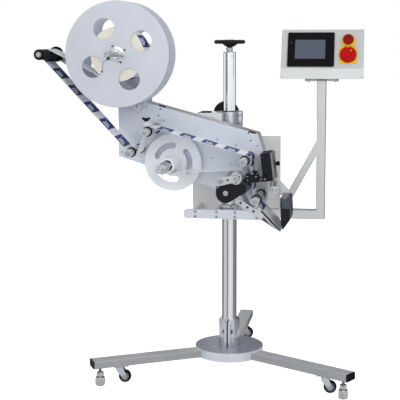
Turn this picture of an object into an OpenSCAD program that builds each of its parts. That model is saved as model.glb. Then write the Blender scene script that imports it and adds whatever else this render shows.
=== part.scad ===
// Label applicator on a height-adjustable column with a three-legged base.
// The column axis is the line that the pieces are placed from: x to the right, y to the back, z up.

/* [Base] */
// Diameter of the round base plate
base_d = 280; // [260:1:320]
// Thickness of the base plate
base_h = 36; // [34:1:40]
// Height of the base plate's top above the floor
base_top = 110; // [108:1:120]
// Distance from the column axis to the centre of a levelling foot
foot_reach = 555; // [520:1:600]
// Distance from a caster's swivel to its levelling foot
caster_gap = 83; // [78:1:90]
// Width of a leg tube
leg_w = 60; // [56:1:64]
// Height of a leg tube
leg_h = 30; // [28:1:31]
// Wall of a leg tube
leg_wall = 3; // [2:0.5:4]
// Thickness of the black end cap on a leg
cap_t = 5; // [3:1:8]
// Width across the flats of a levelling pad
pad_flats = 35; // [30:1:40]
// Height of a levelling pad
pad_h = 34; // [28:1:36]
// Diameter of a levelling stud
stud_d = 12; // [10:1:14]
// Diameter of a caster wheel
wheel_d = 50; // [44:1:50]
// Width of a caster wheel
wheel_w = 18; // [14:1:20]
// Distance from a caster's swivel to its axle
caster_trail = 20; // [14:1:22]

/* [Column] */
// Outer diameter of the lower tube
lower_d = 60; // [58:1:62]
// Outer diameter of the upper tube
upper_d = 50; // [48:1:51]
// Height of the upper tube's upper end
upper_top = 1318; // [1250:1:1350]
// Diameter of the lead screw
screw_d = 16; // [14:1:18]
// Diameter of the handwheel
handwheel_d = 126; // [110:1:140]
// Outer diameter of the collar on the base
collar_d = 84; // [80:1:90]
// Height of the collar on the base
collar_h = 112; // [100:1:125]

/* [Head frame] */
// Height of the head above its lowest setting
head_rise = 0; // [0:5:250]
// Height of the lower frame's underside
frame_z = 655; // [640:1:670]
// Height of the lower frame's bars
frame_h = 37; // [32:1:40]
// Height of the upper clamp
clamp_h = 61; // [58:1:64]
// Diameter of the upper clamp
clamp_d = 84; // [80:1:92]
// Distance from the column axis to the front of the lower frame
frame_front = 110; // [108:1:112]
// Distance from the column axis to the back plate
frame_back = 48; // [48:1:54]
// Depth of the folded main plate
tray_depth = 100; // [90:1:110]
// Sheet thickness of the main plate
sheet_t = 4; // [3:0.5:4]

/* [Web and rollers] */
// Width of the label web
web_w = 120; // [100:1:122]
// Gap between the main plate and the web
web_gap = 32; // [30:1:36]
// Diameter of a guide roller
roller_d = 30; // [28:1:32]
// Diameter of the black rings on a guide roller
ring_d = 36; // [34:1:38]
// Diameter of the dancer roller
dancer_d = 40; // [38:1:44]
// Diameter of the supply reel's discs
reel_d = 400; // [360:1:400]
// Diameter of the label roll
roll_d = 206; // [180:1:220]
// Diameter of the rewinder's disc
rewind_d = 224; // [200:1:228]
// Diameter of the rewound liner
liner_d = 58; // [56:1:70]
// Diameter of the rubber drive roller
drive_d = 44; // [40:1:44]
// Diameter of the steel pinch roller
pinch_d = 45; // [42:1:45]

/* [Control panel] */
// Width of the control panel
panel_w = 323; // [300:1:330]
// Length of the control panel's sloping face
panel_l = 209; // [200:1:220]
// Depth of the control panel
panel_d = 55; // [45:1:60]
// Lean of the control panel's face away from upright, in degrees
panel_lean = 22; // [18:1:25]
// Width of the post's front face
post_w = 35; // [30:1:38]
// Depth of the panel frame's tubes
post_depth = 35; // [30:1:40]

/* [Hidden] */
$fn = 48;
overrun = 1;
running_fit = 0.05;
seat_gap = 0.3;
leg_angles = [210, 330, 90];
arc_steps = 16;

// Planes across the machine, counted from the column axis towards the back
tray_offset = 2;
tray_back = -frame_front - tray_offset;
tray_front = tray_back - tray_depth;
web_back = tray_front - web_gap;
web_front = web_back - web_w;

// Roller and shaft axes in the plane of the main plate
reel_axis = [-376, 1315];
dancer_pivot = [-332, 1111];
dancer_axis = [-654, 1314];
low_left = [-318, 949];
up_left = [-255, 1027];
up_right = [112, 924];
low_right = [157, 780];
pinch_axis = [84, 862];
rewind_axis = [-188, 896];
motor_axis = [44, 804];
turn_axis = [128, 738];
tip_centre = [241, 660];
nip_gap = 1.5;
nip_angle = -66;
drive_axis = pinch_axis + (drive_d / 2 + pinch_d / 2 + nip_gap) * [cos(nip_angle), sin(nip_angle)];

// Guide rollers
roller_reach = 84;
roller_gap = 10;
roller_front = web_front - roller_reach;
roller_back = tray_front - roller_gap;
ring_w = 7;
ring_lead = 22;
spindle_r = 5;
spindle_proud = 4;
shoulder_r = 9;

// Panel placing
panel_left = 212;
panel_base_z = 1216;
panel_base_y = -80;
post_right = 391;
post_y = -38;

// The frame's origin is under the middle of the whole machine's box
machine_left = dancer_axis[0] - dancer_d / 2;
machine_right = panel_left + panel_w;
shaft_reach = 158;
leg_over = 30;
shaft_front = web_front - shaft_reach;
leg_end = foot_reach + leg_over;
leg_tip = leg_end + cap_t;
column_x = -(machine_left + machine_right) / 2;
column_y = -(shaft_front + leg_tip) / 2;

// Helpers

// Moves a piece from the column's own axis to its place over the frame's origin
module placed() {
    translate([column_x, column_y, 0]) children();
}

// The same for a piece of the head, whose heights count for its lowest setting
module on_head() {
    translate([column_x, column_y, head_rise]) children();
}

// Extrudes an outline drawn in x and z from one depth to another
module across(front, back) {
    translate([0, back, 0]) rotate([90, 0, 0]) linear_extrude(back - front) children();
}

// A round bar or bore along y through a point given in x and z
module bar_y(at, r, front, back) {
    translate([at[0], back, at[1]]) rotate([90, 0, 0]) cylinder(h = back - front, r = r);
}

// A tube along z
module tube_z(outer_r, inner_r, low, high) {
    difference() {
        translate([0, 0, low]) cylinder(h = high - low, r = outer_r);
        translate([0, 0, low - overrun]) cylinder(h = high - low + 2 * overrun, r = inner_r);
    }
}

// A block between two corners
module block(low, high) {
    translate(low) cube(high - low);
}

// The direction of the straight run that touches two rollers, in degrees
function run_angle(a, b) =
    let (d = b[0] - a[0], k = b[2] * b[1] - a[2] * a[1])
    atan2(d[1], d[0]) - asin(k / norm(d));

// The point where a run leaves or meets a roller
function touch(c, angle) = c[0] - c[2] * c[1] * [-sin(angle), cos(angle)];

// The turn from one heading to the next, round a roller on the left (1) or the right (-1)
function turn(from, to, side) =
    let (d = to - from, m = d - 360 * floor(d / 360))
    side > 0 ? m : (m == 0 ? 0 : m - 360);

// Points of a web that runs round a list of rollers, each [centre, radius, side]
function web_points(rollers, steps) = [
    for (i = [0:len(rollers) - 2])
        let (heading = run_angle(rollers[i], rollers[i + 1]),
             before = i == 0 ? heading : run_angle(rollers[i - 1], rollers[i]),
             swing = turn(before, heading, rollers[i][2]),
             count = i == 0 || rollers[i][2] == 0 ? 0 : steps)
        for (k = [0:count])
            touch(rollers[i], before + (count == 0 ? swing : swing * k / count)),
    let (last = len(rollers) - 1)
        touch(rollers[last], run_angle(rollers[last - 1], rollers[last]))
];

// The heading of a line at one of its points, shared between the runs on both sides
function heading_at(p, i) =
    let (a = p[max(i - 1, 0)], b = p[min(i + 1, len(p) - 1)])
    (b - a) / norm(b - a);

// A thin strip that follows a line of points
module strip(p, t) {
    left = [for (i = [0:len(p) - 1]) let (h = heading_at(p, i)) p[i] + t / 2 * [-h[1], h[0]]];
    right = [for (i = [len(p) - 1:-1:0]) let (h = heading_at(p, i)) p[i] - t / 2 * [-h[1], h[0]]];
    polygon(concat(left, right));
}

// An outline with round ends of two sizes
module teardrop(a, ra, b, rb) {
    path = web_points([[a, ra, 1], [b, rb, 1], [a, ra, 1], [b, rb, 1]], arc_steps);
    polygon([for (i = [1:len(path) - 2]) path[i]]);
}

// Base

hub_r = 50;
leg_inset = 5;
leg_top = base_top - leg_inset;
leg_low = leg_top - leg_h;

module base_plate() {
    color([0.56, 0.59, 0.64]) placed() difference() {
        translate([0, 0, base_top - base_h]) cylinder(h = base_h, r = base_d / 2, $fn = 96);
        for (a = leg_angles) rotate(a) {
            block([hub_r, -leg_w / 2, base_top - base_h - overrun], [base_d, leg_w / 2, leg_top]);
            for (at = plate_screws) translate([at[0], at[1], leg_low])
                cylinder(h = base_h, r = plate_screw_r + running_fit);
        }
    }
}

plate_screws = [[68, 20], [120, 8]];
plate_screw_l = 16;
plate_screw_r = 3;
plate_head_r = 5;
plate_head_h = 3;

module leg(a) {
    color([0.64, 0.64, 0.65]) placed() rotate(a) difference() {
        block([hub_r, -leg_w / 2, leg_low], [leg_end, leg_w / 2, leg_top]);
        block([hub_r - overrun, -leg_w / 2 + leg_wall, leg_low + leg_wall],
              [leg_end + overrun, leg_w / 2 - leg_wall, leg_top - leg_wall]);
        translate([foot_reach, 0, leg_low - overrun])
            cylinder(h = leg_wall + 2 * overrun, r = stud_d / 2 + seat_gap);
        for (at = plate_screws) translate([at[0], at[1], leg_top - 2 * leg_wall])
            cylinder(h = leg_h, r = plate_screw_r + running_fit);
    }
}

cap_plug = 12;

module leg_end_caps() {
    color([0.08, 0.08, 0.09]) placed() for (a = leg_angles) rotate(a) {
        block([leg_end, -leg_w / 2, leg_low], [leg_tip, leg_w / 2, leg_top]);
        block([leg_end - cap_plug, -leg_w / 2 + leg_wall + running_fit, leg_low + leg_wall + running_fit],
              [leg_end, leg_w / 2 - leg_wall - running_fit, leg_top - leg_wall - running_fit]);
    }
}

nut_flats = 26;
nut_h = 20;
stud_inset = 8;
stud_top = leg_top - stud_inset;

module foot(a) {
    color([0.72, 0.71, 0.69]) placed() rotate(a) translate([foot_reach, 0, 0]) {
        cylinder(h = pad_h, r = pad_flats / sqrt(3), $fn = 6);
        translate([0, 0, pad_h]) cylinder(h = stud_top - pad_h, r = stud_d / 2);
        difference() {
            translate([0, 0, pad_h]) cylinder(h = nut_h, r = nut_flats / sqrt(3), $fn = 6);
            translate([0, 0, pad_h - overrun])
                cylinder(h = nut_h + 2 * overrun, r = stud_d / 2 + running_fit);
        }
    }
}

caster_reach = foot_reach - caster_gap;
caster_plate_l = 64;
caster_plate_w = 46;
caster_plate_t = 3;
caster_pin_r = 4;
caster_z = 30;
fork_t = 2.5;
fork_gap = 1;
swivel_h = 5;
fork_top = leg_low - caster_plate_t - swivel_h;
swivel_r = 15;
axle_head_r = 6;
axle_head_t = 2;

module caster_plates() {
    color([0.78, 0.8, 0.84]) placed() for (a = leg_angles) rotate(a) translate([caster_reach, 0, 0])
        difference() {
            block([-caster_plate_l / 2, -caster_plate_w / 2, leg_low - caster_plate_t],
                  [caster_plate_l / 2, caster_plate_w / 2, leg_low]);
            translate([0, 0, leg_low - caster_plate_t - overrun])
                cylinder(h = caster_plate_t + 2 * overrun, r = caster_pin_r + running_fit);
        }
}

// Moves a caster's pieces from its own swivel axis to its leg, with the wheel trailing to +x
module at_caster(a) {
    translate([caster_reach * cos(a), caster_reach * sin(a), 0]) children();
}

fork_in = wheel_w / 2 + fork_gap;
fork_out = fork_in + fork_t;
fork_eye_r = 9;

module fork_side() {
    across(0, fork_t) difference() {
        hull() {
            translate([caster_trail, caster_z]) circle(r = fork_eye_r);
            translate([-swivel_r, fork_top - fork_t]) square([2 * swivel_r, fork_t]);
        }
        translate([caster_trail, caster_z]) circle(r = caster_pin_r + running_fit);
    }
}

module caster_fork(a) {
    color([0.82, 0.84, 0.88]) placed() at_caster(a) {
        block([-swivel_r, -fork_out, fork_top - fork_t], [swivel_r, fork_out, fork_top]);
        translate([0, fork_in, 0]) fork_side();
        translate([0, -fork_out, 0]) fork_side();
        translate([0, 0, fork_top]) cylinder(h = leg_low - caster_plate_t - seat_gap - fork_top, r = swivel_r);
        translate([0, 0, fork_top]) cylinder(h = leg_low - running_fit - fork_top, r = caster_pin_r);
        axle_reach = fork_out + axle_head_t;
        bar_y([caster_trail, caster_z], caster_pin_r, -fork_out, fork_out);
        bar_y([caster_trail, caster_z], axle_head_r, -axle_reach, -fork_out);
        bar_y([caster_trail, caster_z], axle_head_r, fork_out, axle_reach);
    }
}

module caster_wheel(a) {
    color([0.1, 0.1, 0.11]) placed() at_caster(a) difference() {
        bar_y([caster_trail, caster_z], wheel_d / 2, -wheel_w / 2, wheel_w / 2);
        bar_y([caster_trail, caster_z], caster_pin_r + running_fit, -wheel_w, wheel_w);
    }
}

collar_groove = 3;
collar_foot_h = 30;
groove_h = 4;
ear_t = 11;
ear_flare = 7;
ear_slit = 5;
ear_reach = 62;
clamp_screw_rise = 66;
clamp_screw_inset = 12;
clamp_screw_z = base_top + clamp_screw_rise;
clamp_screw_r = 4;
clamp_head_r = 7;
clamp_head_h = 6;
clamp_head_x = ear_slit / 2 + ear_t;
clamp_screw_y = -ear_reach + clamp_screw_inset;

module base_clamp() {
    color([0.78, 0.81, 0.86]) placed() difference() {
        union() {
            translate([0, 0, base_top]) cylinder(h = collar_h, r = collar_d / 2);
            for (side = [-1, 1]) {
                inner = side * ear_slit / 2;
                outer = side * (ear_slit / 2 + ear_t);
                block([min(inner, outer), -ear_reach, base_top], [max(inner, outer), 0, base_top + collar_h - ear_slit]);
                across(-ear_reach, 0) polygon([[outer, base_top], [outer + side * ear_flare, base_top],
                    [outer, base_top + collar_foot_h]]);
            }
        }
        translate([0, 0, base_top - overrun]) cylinder(h = collar_h + 2 * overrun, r = lower_d / 2 + running_fit);
        block([-ear_slit / 2, -collar_d, base_top - overrun], [ear_slit / 2, 0, base_top + collar_h + overrun]);
        translate([0, 0, base_top + collar_foot_h]) difference() {
            cylinder(h = groove_h, r = collar_d);
            translate([0, 0, -overrun]) cylinder(h = groove_h + 2 * overrun, r = collar_d / 2 - collar_groove);
            block([-clamp_head_x, -collar_d, -overrun], [clamp_head_x, 0, groove_h + overrun]);
        }
        translate([-collar_d, clamp_screw_y, clamp_screw_z]) rotate([0, 90, 0])
            cylinder(h = 2 * collar_d, r = clamp_screw_r + running_fit);
    }
}

module base_screws() {
    color([0.5, 0.5, 0.52]) placed() {
        for (a = leg_angles) rotate(a) for (at = plate_screws) translate([at[0], at[1], base_top]) {
            translate([0, 0, -plate_screw_l]) cylinder(h = plate_screw_l, r = plate_screw_r);
            cylinder(h = plate_head_h, r = plate_head_r);
        }
        translate([0, clamp_screw_y, clamp_screw_z]) rotate([0, 90, 0]) {
            translate([0, 0, -clamp_head_x - clamp_head_h]) cylinder(h = clamp_head_h, r = clamp_head_r);
            translate([0, 0, -clamp_head_x]) cylinder(h = 2 * clamp_head_x, r = clamp_screw_r);
            translate([0, 0, clamp_head_x]) cylinder(h = clamp_head_h, r = clamp_head_r);
        }
    }
}

// Column

lower_wall = 4;
lower_bore = lower_d / 2 - lower_wall;
bush_l = 70;
post_r = 17;
post_bore = 13;
nut_top = 900;
lead_nut_l = 40;
upper_wall = 4;
upper_low = 560;
plug_l = 20;
plug_head_h = 3;
lead_low = 600;
collar_t = 8;
collar_r = 14;
handwheel_rise = 43;
hub_rise = 20;
handwheel_z = upper_top + handwheel_rise;
rim_r = 8.5;
hub_top = handwheel_z + rim_r;
hub_low = upper_top + hub_rise;

module lower_tube() {
    color([0.8, 0.81, 0.83]) placed() tube_z(lower_d / 2, lower_bore, base_top, lower_top);
}

module guide_bush() {
    color([0.75, 0.6, 0.35]) placed()
        tube_z(lower_bore - running_fit, upper_d / 2 + running_fit, lower_top - bush_l, lower_top);
}

module screw_post() {
    color([0.6, 0.6, 0.62]) placed() {
        tube_z(post_r, post_bore, base_top, nut_top - lead_nut_l);
        tube_z(post_r, screw_d / 2 + running_fit, nut_top - lead_nut_l, nut_top);
    }
}

module upper_tube() {
    color([0.8, 0.81, 0.83]) on_head() tube_z(upper_d / 2, upper_d / 2 - upper_wall, upper_low, upper_top);
}

module top_plug() {
    color([0.7, 0.71, 0.73]) on_head() difference() {
        union() {
            translate([0, 0, upper_top - plug_l]) cylinder(h = plug_l, r = upper_d / 2 - upper_wall - running_fit);
            translate([0, 0, upper_top]) cylinder(h = plug_head_h, r = upper_d / 2);
        }
        translate([0, 0, upper_top - plug_l - overrun])
            cylinder(h = plug_l + plug_head_h + 2 * overrun, r = screw_d / 2 + running_fit);
    }
}

module lead_screw() {
    color([0.7, 0.7, 0.72]) on_head() {
        translate([0, 0, lead_low]) cylinder(h = hub_top - overrun - lead_low, r = screw_d / 2);
        translate([0, 0, upper_top - plug_l - seat_gap - collar_t]) difference() {
            cylinder(h = collar_t, r = collar_r);
            translate([0, 0, -overrun]) cylinder(h = collar_t + 2 * overrun, r = screw_d / 2 + running_fit);
        }
    }
}

spoke_count = 3;
spoke_w = 16;
spoke_t = 8;
spoke_turn = 30;
hub_r_top = 17;
hub_r_low = 12;
grip_x = handwheel_d / 2 - rim_r;

module handwheel() {
    color([0.1, 0.1, 0.11]) on_head() difference() {
        union() {
            translate([0, 0, handwheel_z]) rotate_extrude($fn = 64) translate([grip_x, 0]) circle(r = rim_r);
            for (k = [1:spoke_count]) rotate(k * 360 / spoke_count + spoke_turn)
                block([0, -spoke_w / 2, handwheel_z - spoke_t / 2], [grip_x, spoke_w / 2, handwheel_z + spoke_t / 2]);
            translate([0, 0, hub_low]) rotate_extrude()
                polygon([[0, 0], [hub_r_low, 0], [hub_r_top, handwheel_z - hub_low - spoke_t / 2],
                    [hub_r_top, hub_top - hub_low], [0, hub_top - hub_low]]);
        }
        translate([0, 0, hub_low - overrun]) cylinder(h = hub_top - hub_low + 2 * overrun, r = screw_d / 2 + running_fit);
    }
}

clamp_top = 1081;
clamp_low = clamp_top - clamp_h;
tube_gap = 8;
lower_top = clamp_low - tube_gap;
clamp_block_left = -114;
clamp_block_right = -14;
clamp_slit = 4;
clamp_lug_x = 52;
clamp_lug_t = 14;
knob_drop = 17;
knob_axis = [-24, clamp_top - knob_drop];
knob_shaft_r = 6;
knob_r = 55;
knob_t = 18;
knob_depth = 26;
back_plate_t = 8;
knob_gap = 14;
lug_screw_gap = 3;
lug_screw_x = clamp_d / 2 + lug_screw_gap;
lug_screw_inset = 15;
lug_screw_r = 3;

module upper_clamp() {
    color([0.74, 0.76, 0.8]) on_head() difference() {
        union() {
            translate([0, 0, clamp_low]) cylinder(h = clamp_h, r = clamp_d / 2);
            block([clamp_block_left, tray_back, clamp_low], [clamp_block_right, 0, clamp_top]);
            block([0, -clamp_lug_t - clamp_slit / 2, clamp_low],
                  [clamp_lug_x, clamp_lug_t + clamp_slit / 2, clamp_top]);
            block([-tongue_half, 0, clamp_low], [tongue_half / 2, frame_back, clamp_top]);
        }
        translate([0, 0, clamp_low - overrun]) cylinder(h = clamp_h + 2 * overrun, r = upper_d / 2 + running_fit);
        block([0, -clamp_slit / 2, clamp_low - overrun], [clamp_d, clamp_slit / 2, clamp_top + overrun]);
        bar_y(knob_axis, knob_shaft_r + running_fit, knob_depth, clamp_d);
        for (z = [clamp_low + lug_screw_inset, clamp_top - lug_screw_inset])
            bar_y([lug_screw_x, z], lug_screw_r + running_fit, -clamp_d, clamp_d);
    }
}

module rear_knob() {
    knob_back = frame_back + back_plate_t + knob_gap + knob_t;
    color([0.07, 0.07, 0.08]) on_head() {
        bar_y(knob_axis, knob_shaft_r, knob_depth + overrun, knob_back - knob_t);
        bar_y(knob_axis, knob_r, knob_back - knob_t, knob_back);
        bar_y(knob_axis, knob_r / 3, knob_back, knob_back + knob_gap);
    }
}

// Head frame

bar_left = -171;
bar_right = 137;
bar_t = 12;
rib_t = 12;
rib_inset = 47;
inner_rib = 37;
slide_r = 42;
frame_top = frame_z + frame_h;
bolt_r = 3;
bolt_head_r = 5;
bolt_head_h = 4;
bolt_l = 30;
rib_places = [bar_left + rib_inset, -inner_rib, inner_rib, bar_right - rib_t];
bolt_inset = 9;
bolt_heights = [frame_z + bolt_inset, frame_top - bolt_inset];

module front_bar() {
    color([0.8, 0.83, 0.88]) on_head() difference() {
        across(-frame_front, -frame_front + bar_t) hull() {
            translate([bar_left + bar_t, frame_z]) square([bar_right - bar_left - bar_t, frame_h]);
            translate([bar_left + bar_t, frame_z + bar_t]) circle(r = bar_t, $fn = 32);
            translate([bar_left + bar_t, frame_top - bar_t]) circle(r = bar_t, $fn = 32);
        }
        for (x = rib_places) for (z = bolt_heights)
            bar_y([x, z], bolt_r + running_fit, -frame_front - overrun, -frame_front + bar_t + overrun);
    }
}

module frame_ribs() {
    rib_front = -frame_front + bar_t;
    color([0.72, 0.74, 0.78]) on_head() difference() {
        union() {
            for (x = rib_places)
                block([x - rib_t / 2, rib_front, frame_z], [x + rib_t / 2, frame_back, frame_top]);
            translate([0, 0, frame_z]) cylinder(h = frame_h, r = slide_r);
        }
        translate([0, 0, frame_z - overrun]) cylinder(h = frame_h + 2 * overrun, r = lower_d / 2 + running_fit);
        for (x = rib_places) for (z = bolt_heights)
            bar_y([x, z], bolt_r + running_fit, rib_front - overrun, rib_front + bolt_l);
    }
}

tray_corner_screws = [[103, 1011], [112, 982], [-243, 1101], [-251, 1075], [54, 963], [-18, 985], [-40, 912], [33, 891]];

module head_screws() {
    color([0.3, 0.31, 0.34]) on_head() {
        for (x = rib_places) for (z = bolt_heights) {
            bar_y([x, z], bolt_head_r, -frame_front - bolt_head_h, -frame_front);
            bar_y([x, z], bolt_r, -frame_front, -frame_front + bar_t + bolt_l - 2 * overrun);
        }
        for (z = [clamp_low + lug_screw_inset, clamp_top - lug_screw_inset]) {
            lug_face = clamp_lug_t + clamp_slit / 2;
            bar_y([lug_screw_x, z], lug_screw_r, -lug_face, lug_face);
            bar_y([lug_screw_x, z], lug_screw_r + bolt_r, -lug_face - bolt_head_h, -lug_face);
            bar_y([lug_screw_x, z], lug_screw_r + bolt_r, lug_face, lug_face + bolt_head_h);
        }
    }
}

back_left = -162;
back_right = 204;
back_top = 978;
tongue_half = 44;

module back_plate() {
    color([0.74, 0.74, 0.74]) on_head() difference() {
        across(frame_back, frame_back + back_plate_t) union() {
            translate([back_left, frame_z]) square([back_right - back_left, back_top - frame_z]);
            translate([-tongue_half, frame_z]) square([2 * tongue_half, clamp_top - frame_z]);
        }
        bar_y(knob_axis, knob_shaft_r + seat_gap, frame_back - overrun, frame_back + 2 * back_plate_t);
    }
}

// Main plate, folded to a tray that is open at the back

tray_outline = [[-411, 913], [-411, 1345], [-390, 1366], [-318, 1366], [-297, 1345], [-297, 1126],
    [139, 1009], [160, 944], [171, 800], [171, 745], [20, 752], [-42, 798], [-115, 820], [-313, 883]];
lip_w = 16;
lip_top = 1126;

// An outline drawn in by a distance, corner by corner
function inset_corner(p, i, d) =
    let (n = len(p), a = p[(i + n - 1) % n], b = p[i], c = p[(i + 1) % n],
         u = (b - a) / norm(b - a), v = (c - b) / norm(c - b),
         nu = [u[1], -u[0]], nv = [v[1], -v[0]])
    b + d * (nu + nv) / (1 + nu * nv);
function inset_outline(p, d) = [for (i = [0:len(p) - 1]) inset_corner(p, i, d)];

slot_l = 28;
slot_h = 6;
tray_slots = [[-235, 1112], [118, 1014]];
tray_lean = -15;

module main_plate() {
    color([0.77, 0.81, 0.87]) on_head() difference() {
        across(tray_front, tray_back) polygon(tray_outline);
        across(tray_front + sheet_t, tray_back - sheet_t) polygon(inset_outline(tray_outline, sheet_t));
        across(tray_back - 2 * sheet_t, tray_back + overrun) polygon(inset_outline(tray_outline, lip_w));
        for (p = [reel_axis, rewind_axis]) bar_y(p, housing_r, tray_front - overrun, tray_front + 2 * sheet_t);
        for (p = [drive_axis, pinch_axis]) bar_y(p, small_housing_r, tray_front - overrun, tray_front + 2 * sheet_t);
        bar_y(dancer_pivot, pivot_r + running_fit, tray_front - overrun, tray_front + 2 * sheet_t);
        bar_y(motor_axis, motor_shaft_r + seat_gap, tray_front - overrun, tray_front + 2 * sheet_t);
        for (p = [low_left, up_left, up_right, low_right])
            bar_y(p, spindle_r + running_fit, tray_front - overrun, tray_front + 2 * sheet_t);
        for (p = tray_slots) translate([p[0], 0, p[1]]) rotate([0, -tray_lean, 0])
            block([-slot_l / 2, tray_front - overrun, -slot_h / 2], [slot_l / 2, tray_front + 2 * sheet_t, slot_h / 2]);
        for (p = tray_corner_screws) bar_y(p, bolt_r, tray_front - overrun, tray_front + 2 * sheet_t);
    }
}

housing_r = 24;
small_housing_r = 14;
housing_flange = 6;
housing_back = 40;
reel_shaft_r = 10;
rewind_shaft_r = 10;
drive_shaft_r = 8;
pivot_r = 8;
motor_shaft_r = 6;

module housing(at, r, shaft_r, back) {
    difference() {
        union() {
            bar_y(at, r - running_fit, tray_front, tray_front + back);
            bar_y(at, r + housing_flange, tray_front - housing_flange, tray_front);
        }
        bar_y(at, shaft_r + running_fit, tray_front - housing_flange - overrun, tray_front + back + overrun);
    }
}

module bearing_housings() {
    color([0.6, 0.62, 0.66]) on_head() {
        housing(reel_axis, housing_r, reel_shaft_r, housing_back);
        housing(rewind_axis, housing_r, rewind_shaft_r, housing_back);
        housing(drive_axis, small_housing_r, drive_shaft_r, housing_back / 2);
        housing(pinch_axis, small_housing_r, drive_shaft_r, housing_back / 2);
    }
}

// Supply reel

disc_t = 4;
disc_gap = 2;
disc_hole_r = 41;
disc_hole_reach = 105;
disc_hole_angle = 27;
disc_hole_count = 4;
disc_step = 360 / disc_hole_count;
reel_hub_r = 34;
core_r = 38;
shaft_tail = 12;
shaft_back = tray_front + housing_back + shaft_tail;
stop_r = 16;
reel_hub_proud = 22;
reel_nose_r = 11;
reel_nose_back = web_front - disc_gap - disc_t - reel_hub_proud;

module reel_shaft() {
    color([0.82, 0.83, 0.85]) on_head() {
        bar_y(reel_axis, reel_nose_r, shaft_front, reel_nose_back);
        bar_y(reel_axis, reel_shaft_r, reel_nose_back, shaft_back);
        difference() {
            bar_y(reel_axis, stop_r, shaft_back - stop_r / 2, shaft_back + stop_r / 4);
            bar_y(reel_axis, reel_shaft_r + running_fit, shaft_back - stop_r, shaft_back + stop_r);
        }
        difference() {
            union() {
                bar_y(reel_axis, reel_hub_r, web_front - disc_gap, web_back + disc_gap);
                bar_y(reel_axis, reel_hub_r / 2, reel_nose_back, web_front - disc_gap - disc_t);
            }
            bar_y(reel_axis, reel_shaft_r + running_fit, shaft_front, shaft_back);
        }
    }
}

module reel_disc(front) {
    difference() {
        bar_y(reel_axis, reel_d / 2, front, front + disc_t, $fn = 120);
        bar_y(reel_axis, reel_shaft_r + running_fit, front - overrun, front + disc_t + overrun);
        for (k = [1:disc_hole_count])
            bar_y(reel_axis + disc_hole_reach * [cos(disc_hole_angle + k * disc_step), sin(disc_hole_angle + k * disc_step)],
                disc_hole_r, front - overrun, front + disc_t + overrun);
    }
}

module reel_discs() {
    color([0.79, 0.82, 0.87]) on_head() {
        reel_disc(web_front - disc_gap - disc_t);
        reel_disc(web_back + disc_gap);
    }
}

module label_roll() {
    color([0.93, 0.91, 0.84]) on_head() difference() {
        bar_y(reel_axis, roll_d / 2, web_front, web_back);
        bar_y(reel_axis, core_r, web_front - overrun, web_back + overrun);
    }
    color([0.7, 0.58, 0.42]) on_head() difference() {
        bar_y(reel_axis, core_r - running_fit, web_front, web_back);
        bar_y(reel_axis, reel_hub_r + running_fit, web_front - overrun, web_back + overrun);
    }
}

// Dancer

arm_gap = 8;
arm_t = 10;
arm_back = tray_front - arm_gap;
arm_front = arm_back - arm_t;
arm_r = 14;
pivot_boss_r = 18;
pivot_collar_r = 13;
flange_r = 30;
flange_t = 6;
dancer_spindle_r = 6;
dancer_gap = 2;
dancer_reach = 88;
dancer_back = arm_front - dancer_gap;
dancer_front = web_front - dancer_reach;

module dancer_arm() {
    color([0.66, 0.68, 0.72]) on_head() {
        across(arm_front, arm_back) teardrop(dancer_pivot, pivot_boss_r, dancer_axis, arm_r);
        bar_y(dancer_pivot, pivot_collar_r, arm_back, tray_front - seat_gap);
        bar_y(dancer_pivot, pivot_r, tray_front - seat_gap, tray_front + 3 * sheet_t);
        bar_y(dancer_axis, dancer_spindle_r, dancer_front - spindle_proud, arm_front);
    }
}

module dancer_roller() {
    color([0.09, 0.09, 0.1]) on_head() difference() {
        union() {
            bar_y(dancer_axis, dancer_d / 2, dancer_front, dancer_back);
            bar_y(dancer_axis, flange_r, dancer_back - flange_t, dancer_back);
        }
        bar_y(dancer_axis, dancer_spindle_r + running_fit, dancer_front - overrun, dancer_back + overrun);
    }
}

// Guide rollers

module guide_roller(at) {
    color([0.75, 0.77, 0.8]) on_head() difference() {
        union() {
            bar_y(at, roller_d / 2, roller_front, roller_back);
            bar_y(at, ring_d / 2, web_front - ring_lead - ring_w, web_front - ring_lead);
            bar_y(at, ring_d / 2, web_back + overrun, web_back + ring_w + overrun);
        }
        bar_y(at, spindle_r + running_fit, roller_front - overrun, roller_back + overrun);
    }
}

module roller_spindles() {
    color([0.55, 0.56, 0.58]) on_head() for (at = [low_left, up_left, up_right, low_right]) {
        bar_y(at, spindle_r, roller_front - spindle_proud, tray_front + sheet_t + spindle_proud);
        difference() {
            bar_y(at, shoulder_r, roller_back + seat_gap, tray_front);
            bar_y(at, spindle_r + running_fit, roller_back, tray_front + overrun);
        }
        difference() {
            bar_y(at, shoulder_r, tray_front + sheet_t, tray_front + sheet_t + spindle_proud);
            bar_y(at, spindle_r + running_fit, tray_front, tray_front + 2 * spindle_proud + sheet_t);
        }
    }
}

// Drive

motor_r = 27;
motor_l = 80;
guard_reach = 56;
guard_depth = 26;
guard_front = web_front - guard_reach;
guard_back = guard_front + guard_depth;
guard_big_r = 36;
guard_small_r = 17;
guard_wall = 2;
guard_post_r = 5;
guard_post_at = [-19, -19];
pinch_reach = 72;
pinch_front = web_front - pinch_reach;
drive_over = 8;

module drive_motor() {
    color([0.12, 0.12, 0.13]) on_head() {
        bar_y(motor_axis, motor_r, tray_front + sheet_t, tray_front + sheet_t + motor_l);
        bar_y(motor_axis, motor_shaft_r, guard_front + 2 * guard_wall, tray_front + sheet_t);
    }
}

module drive_roller() {
    color([0.25, 0.26, 0.29]) on_head() {
        bar_y(drive_axis, drive_d / 2, web_front - drive_over, web_back + drive_over);
        bar_y(drive_axis, drive_shaft_r, web_back + drive_over, tray_front + housing_back / 2);
        bar_y(drive_axis, drive_shaft_r, guard_front + 2 * guard_wall, web_front - drive_over);
    }
}

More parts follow.
